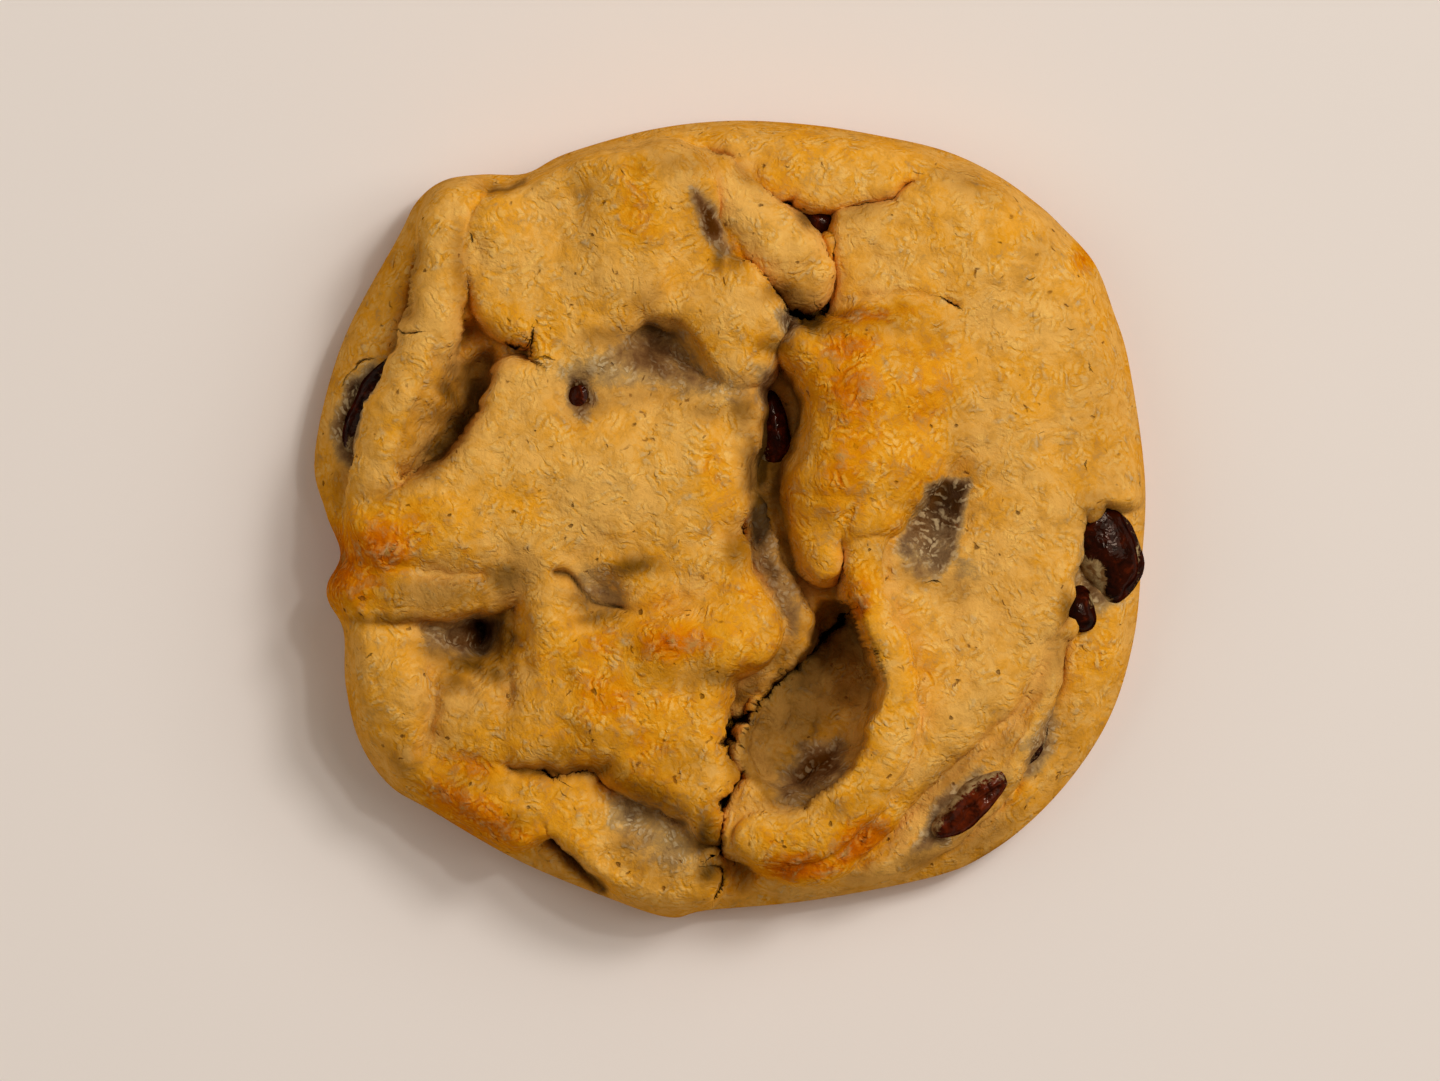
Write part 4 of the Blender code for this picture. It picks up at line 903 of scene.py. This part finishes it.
def addRipples(add, place, bend, values):
    # Bunches of parallel ripples, each bunch its own way round and fading out to the next
    ripples = 0.0
    for offset in values["bunchPlaces"]:
        moved = add("VectorMath ADD", [place, offset])
        bunch = add("TexVoronoi", {"Vector": moved, "Scale": 1 / values["bunchSize"]}, "Color")
        way = add("VectorMath NORMALIZE", [add("VectorMath SUBTRACT", [bunch, (0.5, 0.5, 0.5)])])
        across = add("Math ADD", [add("VectorMath DOT_PRODUCT", [place, way], "Value"), bend])
        turn = add("Math MULTIPLY", [across, 2 * math.pi / values["rippleSpacing"]])
        trough = add("Math MULTIPLY_ADD", [add("Math SINE", [turn]), -0.5, 0.5])
        wave = add("Math MULTIPLY_ADD", [add("Math POWER", [trough, values["rippleSharp"]]), -2, 1])
        nearby = bunch.node.outputs["Distance"]
        fade = add("Math MULTIPLY_ADD", [nearby, *values["slopes"]["bunchFade"]], use_clamp=True)
        ripples = add("Math ADD", [add("Math MULTIPLY", [wave, fade]), ripples])
    return ripples


def makeBakedDough():
    values, slopes = bakedDough, bakedDough["slopes"]
    material, tree, add = newMaterial("bakedButterDough")
    place = millimetres(tree)
    patterns = {name: add("TexNoise", {"Vector": place, **inputs})
                for name, inputs in values["noises"].items()}
    fields = {name: add("Attribute", output="Fac", attribute_name=name)
              for name in ("browned", "film", "shaded", "crackSide", "crackOpen", "crackShade")}

    bend = add("Math MULTIPLY", [patterns["bend"], values["rippleBend"]])
    ripples = addRipples(add, place, bend, values)
    unbroken = add("Math MULTIPLY_ADD", [patterns["break"], *slopes["unbroken"]], use_clamp=True)
    ripples = patterns["ripples"] = add("Math MULTIPLY", [ripples, unbroken])
    ridges = add("Math SUBTRACT", [ripples, values["ridgeFrom"]])
    ridges = add("Math MULTIPLY", [ridges, values["ridgeGain"]], use_clamp=True)

    levels = {}
    for name, parts in values["levels"].items():
        level = fields[name]
        for pattern, (amount, offset) in parts.items():
            part = add("Math MULTIPLY_ADD", [patterns[pattern], amount, offset])
            level = add("Math ADD", [level, part])
        levels[name] = add("Clamp", [level])
    film, paintedShade = levels["film"], levels["shaded"]

    # Ragged open cracks
    ragged = add("Math MULTIPLY_ADD", [patterns["ragged"], *slopes["ragged"]])
    gap = add("Math ABSOLUTE", [add("Math ADD", [fields["crackSide"], ragged])])
    opening = add("Math MULTIPLY_ADD", [fields["crackOpen"], *slopes["opening"]])
    crack = add("Math SUBTRACT", [opening, gap])
    crack = add("Math MULTIPLY", [crack, values["crackSharp"]], use_clamp=True)

    # Burst bubbles, and hairline cracks here and there
    stray = add("TexNoise", {"Vector": place, "Scale": 1 / values["straySize"]}, "Color")
    stray = add("VectorMath SCALE", {0: stray, "Scale": values["strayReach"]})
    bent = add("VectorMath ADD", [place, stray])
    cells = add("TexVoronoi", {"Vector": bent, "Scale": 1 / values["bubbleSpacing"]}, "Color")
    chance = add("SeparateColor", [cells])
    size = add("Math MULTIPLY_ADD", [chance.node.outputs[1], *slopes["bubbleSize"]])
    bubble = add("Math SUBTRACT", [size, cells.node.outputs["Distance"]])
    bubble = add("Math MULTIPLY", [bubble, values["bubbleSharp"]], use_clamp=True)
    isBubble = add("Math GREATER_THAN", [chance, 1 - values["bubbleChance"]])
    bubble = add("Math MULTIPLY", [bubble, isBubble])
    seams = add("TexVoronoi", {"Vector": bent, "Scale": 1 / values["seamSpacing"]}, "Distance",
                feature="DISTANCE_TO_EDGE")
    hairline = add("Math SUBTRACT", [values["hairlineHalf"], seams])
    hairline = add("Math MULTIPLY", [hairline, values["hairlineSharp"]], use_clamp=True)
    isCracked = add("Math MULTIPLY_ADD", [patterns["scarce"], *slopes["isCracked"]], use_clamp=True)
    hairline = add("Math MULTIPLY", [hairline, isCracked])

    # The colours, from the crust up: painted highlight on the ripples' crests, on a film partly pale strands
    # and partly painted highlight, then painted shade, near black painted shade in open cracks, bubbles and
    # hairline cracks
    ridgeHighlight = add("Math MULTIPLY_ADD", [fields["browned"], *slopes["ridgeHighlight"]], use_clamp=True)
    filmStrandsAndHighlight = add("Math MULTIPLY_ADD", [film, *slopes["filmStrandsAndHighlight"]], use_clamp=True)
    filmColour = add("Mix", {0: add("Math MULTIPLY", [ridges, filmStrandsAndHighlight]),
                             6: add("ValToRGB", [film], stops=values["filmed"]), 7: values["filmStrandAndHighlightColour"]},
                     2, data_type="RGBA")
    paintedShadeColour = add("ValToRGB", [paintedShade], stops=values["paintedShade"])
    colour = add("ValToRGB", [levels["browned"]], stops=values["crust"])
    for amount, layer in [
        (add("Math MULTIPLY", [ridges, ridgeHighlight]), values["ridgeHighlightColour"]),
        (add("Math MULTIPLY", [film, values["filmSharp"]], use_clamp=True), filmColour),
        (add("Math MULTIPLY", [paintedShade, values["paintedShadeCover"]]), paintedShadeColour),
        (add("Math MULTIPLY", [crack, fields["crackShade"]]), values["crack"]),
        (add("Math MULTIPLY", [bubble, values["markCover"]]), values["bubble"]),
        (add("Math MULTIPLY", [hairline, values["markCover"]]), values["hairline"]),
    ]:
        colour = add("Mix", {0: amount, 6: colour, 7: layer}, 2, data_type="RGBA")

    patterns.update(bubble=bubble, hairline=hairline, crack=crack)
    height = 0.0
    for name, depth in values["relief"].items():
        height = add("Math MULTIPLY_ADD", [patterns[name], depth, height])

    # Only what faces up keeps the oily sheen, on the ridges most, and places under painted shade none
    faceUp = add("Math MULTIPLY_ADD", [upward(tree), *slopes["faceUp"]], use_clamp=True)
    sheen = add("Math MULTIPLY_ADD", [ridges, *slopes["sheen"]])
    sheen = add("Math MULTIPLY", [sheen, add("Math SUBTRACT", [1, paintedShade], use_clamp=True)])
    setInputs(tree, tree.nodes["Principled BSDF"], {
        "Base Color": colour,
        "Normal": add("Bump", {"Strength": 1, "Distance": mm, "Height": height}),
        "Roughness": add("Math MULTIPLY_ADD", [patterns["mottle"], *slopes["roughness"]]),
        "Specular IOR Level": add("Math MULTIPLY", [sheen, faceUp]),
        "Specular Tint": values["sheenTint"],
        "IOR": values["ior"],
    })
    return material


# Semi-sweet chocolate that melted and set again: nearly black brown and glossy, with thin ragged skins of
# dough over its margins
semiSweet = {
    "noises": {    # a scale is one over the size in millimetres
        "grain": {"Scale": 1 / 1.2, "Detail": 3, "Roughness": 0.6, "Distortion": 0.6},
        "creep": {"Scale": 1 / 0.8, "Detail": 4, "Roughness": 0.7, "Distortion": 1},
        "dents": {"Scale": 1 / 0.9, "Distortion": 0.8},
    },
    "melted": [(0.35, "#140502"), (0.6, "#300c02"), (0.9, "#6c2408")],
    "skin": [(0.4, "#6e4c28"), (0.6, "#a88e60")],
    "skinCover": 0.9, "skinSharp": 3,
    "slopes": {"creep": (3, -1.3), "faceUp": (2.6, -1.2)},    # amount and what is added
    "dentDepth": 0.3, "dentStrength": 0.4,
    "gloss": 0.13, "glossTint": "#ffe0c8", "roughness": 0.08, "ior": 1.45,
}


def makeChocolate():
    values, slopes = semiSweet, semiSweet["slopes"]
    material, tree, add = newMaterial("semiSweetChocolate")
    place = millimetres(tree)
    patterns = {name: add("TexNoise", {"Vector": place, **inputs})
                for name, inputs in values["noises"].items()}
    tone = add("Attribute", output="Fac", attribute_name="tone")
    bare = add("Attribute", output="Fac", attribute_name="bare")
    colour = add("ValToRGB", [add("Math ADD", [patterns["grain"], tone])], stops=values["melted"])

    # Dough creeps over the margins
    creep = add("Math SUBTRACT", [add("Math MULTIPLY_ADD", [patterns["creep"], *slopes["creep"]]), bare])
    creep = add("Math MULTIPLY", [creep, values["skinSharp"]], use_clamp=True)
    skin = add("ValToRGB", [patterns["grain"]], stops=values["skin"])
    covered = add("Math MULTIPLY", [creep, values["skinCover"]])

    faceUp = add("Math MULTIPLY_ADD", [upward(tree), *slopes["faceUp"]], use_clamp=True)
    setInputs(tree, tree.nodes["Principled BSDF"], {
        "Base Color": add("Mix", {0: covered, 6: colour, 7: skin}, 2, data_type="RGBA"),
        "Normal": add("Bump", {"Strength": values["dentStrength"], "Distance": values["dentDepth"] * mm,
                               "Height": patterns["dents"]}),
        "Specular IOR Level": add("Math MULTIPLY", [faceUp, values["gloss"]]),
        "Specular Tint": values["glossTint"],
        "Roughness": values["roughness"],
        "IOR": values["ior"],
    })
    return material


# The dough's mesh

def finishPiece(name, vertices, faces, material, attributes):
    mesh = bpy.data.meshes.new(name)
    mesh.from_pydata(vertices.tolist(), [], faces)
    for key, values in attributes.items():
        layer = mesh.attributes.new(key, "FLOAT", "POINT")
        layer.data.foreach_set("value", np.asarray(values, np.float32))
    mesh.shade_smooth()
    mesh.materials.append(material)
    piece = bpy.data.objects.new(name, mesh)
    bpy.context.scene.collection.objects.link(piece)
    return piece


def layDough(x, y, share):
    # Heights, depth inside the outline, and the fields that the material reads
    seeds, tear = dough["seeds"], dough["tear"]
    inner = np.clip((1 - share) / dough["stillRim"], 0, 1)
    warpX, warpY, lumps = np.zeros_like(x), np.zeros_like(x), np.zeros_like(x)
    for i, (amount, size) in enumerate(dough["waver"]):
        warpX += amount * noiseAt(x, y, 0 * x, size, seeds["waverX"] + i)
        warpY += amount * noiseAt(x, y, 0 * x, size, seeds["waverY"] + i)
    for i, (amount, size) in enumerate(dough["lumps"]):
        lumps += amount * noiseAt(x, y, 0 * x, size, seeds["lumps"] + i)
    u, v = x + warpX * inner, y + warpY * inner
    z, rimDepth, foldBrown = surfaceHeight(u, v)
    print("folds laid")
    z += lumps * np.clip(rimDepth / dough["lumpsFrom"], 0, 1)

    # Cracks have ragged sides and are open in some places only
    side, opening, depth, shadeStrength = crackFields(u, v)
    ragged = noiseAt(x, y, 0 * x, tear["raggedSize"], seeds["ragged"])
    side += (tear["ragged"] + tear["raggedWide"] * opening) * ragged
    uneven = noiseAt(x, y, 0 * x, tear["unevenSize"], seeds["uneven"])
    opening *= np.clip(1 + tear["uneven"] * uneven, *tear["shares"])
    wall = np.clip(tear["wall"] - np.abs(side) / np.maximum(opening, tear["least"]), 0, 1)
    z -= depth * wall * (opening > tear["carved"])

    steps = dough["gridSteps"] + 1
    around = smoothGrid(z.reshape(steps, steps), dough["hollowSteps"]).ravel()
    start, way = dough["hollowFrom"]
    hollow = (around - z) * np.clip((rimDepth - start) / way, 0, 1)
    brownLevel = np.maximum(foldBrown, strongestBlob(u, v, browned))
    brownLevel += dough["crestBrowned"] * np.clip(-hollow, -1, 1)
    # Painted shade: listed places, hollow floors, creases, places lower than around them, and the band at
    # the rim
    shadeLevel = np.maximum(strongestBlob(u, v, shaded), shadeAndFilmLevel(u, v, z, hollows))
    for crease in creases:
        near, level = creaseLevel(u, v, crease)
        shadeLevel[near] = np.maximum(shadeLevel[near], crease["shadeStrength"] * level)
    full, less, most = dough["hollowShade"]
    shadeLevel = np.maximum(shadeLevel, np.clip(hollow / full - less, 0, most))
    amount, end = dough["rimShade"]
    shadeLevel = np.maximum(shadeLevel, amount * np.clip(1 - rimDepth / end, 0, 1))
    fields = {"browned": brownLevel, "shaded": shadeLevel, "film": shadeAndFilmLevel(u, v, z, chipFilms),
              "crackSide": side, "crackOpen": opening, "crackShade": shadeStrength}
    return z, rimDepth, fields


def withFoot(values, ring, low):
    # The foot's values, which go from the rim's to the base's
    down = np.arange(1, dough["footSteps"] + 1)[:, None] / dough["footSteps"]
    return np.concatenate([values, (values[ring] * (1 - down) + low * down).ravel()])


def makeDough():
    share, heading = discGrid(dough["gridSteps"])
    index = np.arange(share.size).reshape(share.shape)
    ring = np.concatenate([index[0, :-1], index[:-1, -1], index[-1, :0:-1], index[:0:-1, 0]])
    share, heading = share.ravel(), heading.ravel()
    radius = outlineRadius(heading) * (1 - (1 - share) ** dough["rimCrowding"])
    x, y = radius * np.cos(heading), radius * np.sin(heading)
    z, rimDepth, fields = layDough(x, y, share)
    z[ring] = dough["equator"]

    # The foot, which rounds in from the rim to the flat base
    vertices = [np.stack([x, y, z], 1)]
    turn = heading[ring]
    for i in range(1, dough["footSteps"] + 1):
        down = i / dough["footSteps"] * math.pi / 2
        r = radius[ring] - (radius[ring] - baseRadius(turn)) * (1 - math.cos(down))
        low = np.full_like(r, dough["equator"] * (1 - math.sin(down)))
        vertices.append(np.stack([r * np.cos(turn), r * np.sin(turn), low], 1))
    vertices = (np.concatenate(vertices) + [shift[0], shift[1], 0]) * [mm, mm, rise]

    corners = index[:-1, :-1], index[:-1, 1:], index[1:, 1:], index[1:, :-1]
    faces = list(zip(*(corner.ravel() for corner in corners)))
    above = ring
    for i in range(dough["footSteps"]):
        below = index.size + i * len(ring) + np.arange(len(ring))
        faces += list(zip(above, below, np.roll(below, -1), np.roll(above, -1)))
        above = below
    faces.append(tuple(above[::-1]))
    faces = [tuple(int(i) for i in face) for face in faces]

    attributes = {name: withFoot(values, ring, dough["foot"][name]) for name, values in fields.items()}
    piece = finishPiece("doughCrust", vertices, faces, makeBakedDough(), attributes)

    # Steep lips lean out over what they lie on, away from the rim
    mesh = piece.data
    normals = np.zeros(len(vertices) * 3, np.float32)
    mesh.vertices.foreach_get("normal", normals)
    normals = normals.reshape(-1, 3)
    amount, size = dough["wallLumps"]
    start, way = dough["leanFrom"]
    lean = np.clip(1 - normals[:, 2], 0, 1) * dough["lipBulge"] * mm
    lean *= 1 + amount * noiseAt(*(vertices / mm).T, size, dough["seeds"]["walls"])
    lean *= withFoot(np.clip((rimDepth - start) / way, 0, 1), ring, 0)
    vertices = vertices + normals * lean[:, None] * dough["leanShares"]
    mesh.vertices.foreach_set("co", vertices.ravel())
    mesh.update()
    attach(piece, "root")
    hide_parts("dough")
    print("dough made:", len(mesh.vertices), "vertices")


# Chocolate chips that show: "show" is how far one stands out of the dough, "turn" the heading of its length,
# and "filmed" how far dough creeps up it. "sides" are shares of its width on the left and right along its
# length, and "veils" are where dough covers more of it: x, y, half width, half depth, turn and height.
chips = {
    "chip_right": {
        "at": (38, -2.8), "length": 11.8, "width": 7.7, "thick": 6, "turn": 102, "show": 2.2, "filmed": -0.1,
        # the thin second veil lays a light streak of dough colour along the right edge: a painted highlight
        "veils": [(36, -6.4, 1.5, 2.6, -24, 3), (40.8, -4, 0.4, 3, 0, 0.8)],
        "sides": [(-1, 0.8, 0.9), (-0.5, 0.84, 1), (0, 0.94, 1), (0.4, 1.02, 0.88), (0.75, 1.06, 0.66),
                  (1, 1.1, 0.5)],
        "groove": [(-4.4, -0.6, 0.5), (-3.4, -2.1, 0.5), (-0.4, -2.6, 0.5), (2.6, -1.7, 0.5)],
    },
    "chip_right_low": {
        "at": (34.4, -9), "length": 5.2, "width": 4.4, "thick": 3.4, "turn": 50, "show": 2.4, "filmed": 0,
        "veils": [(36.4, -8, 1, 1.4, -30, 2.4)],
    },
    "chip_front_right": {
        "at": (24.4, -28.6), "length": 10.4, "width": 4.2, "thick": 4, "turn": 43, "show": 1.2,
        "filmed": -0.2, "tone": 0.2,
        "sides": [(-1, 0.9, 0.8), (-0.3, 0.9, 1), (0.4, 1, 0.9), (1, 0.8, 1.1)],
        "groove": [(-2.6, -0.2, 0.4), (0, 0.5, 0.4), (3, 0, 0.4)],
    },
    "chip_front_small": {
        "at": (31.1, -22.6), "length": 5.8, "width": 2.8, "thick": 3, "turn": 62, "show": 0.5, "filmed": 0,
    },
    "chip_crevice": {
        "at": (4, 8.8), "length": 8.4, "width": 3.4, "thick": 4, "turn": 100, "show": 2.2, "filmed": 0,
        "tone": 0.1,
    },
    "chip_back": {
        "at": (8.5, 30.3), "length": 6.4, "width": 3.4, "thick": 3.6, "turn": -4, "show": 2.8, "filmed": 0,
    },
    "chip_left": {
        "at": (-36.2, 12), "length": 11.6, "width": 4.6, "thick": 4, "turn": 68, "show": 1.5, "filmed": 0.2,
    },
    "chip_middle": {
        "at": (-15, 12.3), "length": 6, "width": 4, "thick": 3.6, "turn": 95, "show": 1, "filmed": 0.1,
        "tone": 0.1,
    },
}
chipShape = {
    "round": 48, "rings": 32,
    "taper": 0.14,                         # fuller at one end
    "slopeReach": 1.5,                     # how far round a chip the dough's slope is taken
    "lumps": [(0.3, 2.6), (0.08, 1.1)],    # soft lumps from melting: amount, size
    "lumpMiddle": 0.4,
    "grooveDepth": 0.5, "grooveWidth": 0.35,
}


def surfaceFrame(at, turn):
    # The dough's surface under a chip: a place on it, its way out, and the chip's heading along it
    reach = chipShape["slopeReach"]
    x = at[0] + reach * np.array([0, 1, -1, 0, 0])
    y = at[1] + reach * np.array([0, 0, 0, 1, -1])
    z = surfaceHeight(x, y)[0] * rise / mm
    out = np.array([z[2] - z[1], z[4] - z[3], 2 * reach])
    out /= np.linalg.norm(out)
    heading = np.array([math.cos(math.radians(turn)), math.sin(math.radians(turn)), 0])
    heading -= out * heading.dot(out)
    heading /= np.linalg.norm(heading)
    return np.array([at[0] + shift[0], at[1] + shift[1], z[0]]), out, heading


def makeChip(name, chip, material, seed):
    # A ball of rings round the x axis, closed by a point at each end
    rings, around = chipShape["rings"], chipShape["round"]
    polar = np.repeat(np.linspace(0, math.pi, rings + 1)[1:-1], around)
    turn = np.tile(np.linspace(0, 2 * math.pi, around, endpoint=False), rings - 1)
    ball = np.stack([np.cos(polar), np.sin(polar) * np.cos(turn), np.sin(polar) * np.sin(turn)], 1)
    ball = np.vstack([ball, [[1, 0, 0], [-1, 0, 0]]])
    faces = []
    for i in range(rings - 2):
        for j in range(around):
            k = (j + 1) % around
            faces.append(((i + 1) * around + j, (i + 1) * around + k, i * around + k, i * around + j))
    tip, tail, last = len(ball) - 2, len(ball) - 1, (rings - 2) * around
    for j in range(around):
        k = (j + 1) % around
        faces.append((j, k, tip))
        faces.append((last + k, last + j, tail))

    # The ball as a chip
    body = ball * [chip["length"] / 2, chip["width"] / 2, chip["thick"] / 2]
    body[:, 1:] *= (1 - chipShape["taper"] * ball[:, 0])[:, None]
    if "sides" in chip:
        along, left, right = zip(*chip["sides"])
        onLeft, onRight = np.interp(ball[:, 0], along, left), np.interp(ball[:, 0], along, right)
        body[:, 1] *= np.where(ball[:, 1] > 0, onLeft, onRight)
    for amount, size in chipShape["lumps"]:
        lump = noiseAt(body[:, 0], body[:, 1], body[:, 2], size, seed)
        body += ball * (amount * (lump - chipShape["lumpMiddle"]))[:, None]
    if "groove" in chip:
        distance, _, _ = nearestOn(body[:, 0], body[:, 1], smoothCurve(chip["groove"], False), False)
        groove = np.exp(-((distance / chipShape["grooveWidth"]) ** 2))
        body[:, 2] -= chipShape["grooveDepth"] * groove * (body[:, 2] > 0)

    # Sunk into the dough, with dough on its margins
    spot, out, heading = surfaceFrame(chip["at"], chip["turn"])
    sunk = chip["thick"] / 2 - chip["show"]
    vertices = spot - out * sunk + body @ np.array([heading, np.cross(out, heading), out])
    bare = body[:, 2] - sunk - chip["filmed"]
    for *place, height in chip.get("veils", []):
        bare -= height * blob(vertices[:, 0] - shift[0], vertices[:, 1] - shift[1], *place)
    attributes = {"bare": bare, "tone": np.full_like(bare, chip.get("tone", 0))}
    pieceName = name.replace("chip_", "chocolate_")
    piece = finishPiece(pieceName, vertices * mm, faces, material, attributes)
    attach(piece, "root")
    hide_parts(name)


# The stage: a pale matt board, a soft key light from the back right with two small ones beside it for
# glints, and a weak fill. Places and sizes are in metres.
stage = {
    "floorColour": "#f5e9df",
    "floorRoughness": 0.9,
    "floorSize": 3.0,
    "lights": {
        "key": {"place": (1.16, 0.62, 1.5), "size": 1.6, "power": 16},
        "spark": {"place": (0.8, 0.64, 1.2), "size": 0.34, "power": 7},
        "glint": {"place": (0.6, 0.44, 1.4), "size": 0.08, "power": 1.9},
        "fill": {"place": (-0.95, 0.2, 1), "size": 1.0, "power": 2.5},
    },
    "skyColour": "#fff1dc",
    "skyStrength": 0.19,
}
view = {
    "width": 144,              # millimetres of the cookie's surroundings across the picture
    "aim": (-1.0, -2.15, 10),    # millimetres
    "lens": 250,
    "sensor": 36,
}


def makeStage():
    bpy.ops.mesh.primitive_plane_add(size=stage["floorSize"])
    floor = bpy.context.object
    floor.name = "paleBoard"
    material, tree, _ = newMaterial("mattCard")
    setInputs(tree, tree.nodes["Principled BSDF"], {"Base Color": stage["floorColour"],
                                                    "Roughness": stage["floorRoughness"]})
    floor.data.materials.append(material)
    for name, values in stage["lights"].items():
        light = bpy.data.lights.new(name, "AREA")
        light.size = values["size"]
        light.energy = values["power"]
        lamp = bpy.data.objects.new(name, light)
        lamp.location = values["place"]
        lamp.rotation_euler = Vector(values["place"]).to_track_quat("Z", "Y").to_euler()
        bpy.context.scene.collection.objects.link(lamp)
    world = bpy.data.worlds.new("studio")
    world.use_nodes = True
    background = world.node_tree.nodes["Background"]
    background.inputs[0].default_value = hexColour(stage["skyColour"])
    background.inputs[1].default_value = stage["skyStrength"]
    bpy.context.scene.world = world
    bpy.context.scene.view_settings.view_transform = "Standard"


def makeCamera():
    # Straight down, far enough away to see no side that the photograph doesn't show
    camera = bpy.data.cameras.new("fromAbove")
    camera.lens = view["lens"]
    camera.sensor_width = view["sensor"]
    camera.clip_end = 10
    rig = bpy.data.objects.new("fromAbove", camera)
    distance = view["width"] * view["lens"] / view["sensor"]
    rig.location = Vector(view["aim"]) * mm + Vector((0, 0, distance * mm))
    bpy.context.scene.collection.objects.link(rig)
    bpy.context.scene.camera = rig


makeDough()
chocolate = makeChocolate()
for number, (chipName, chip) in enumerate(chips.items()):
    makeChip(chipName, chip, chocolate, 5.5 * number)
print("chips made")
makeStage()
makeCamera()
print("stage set")
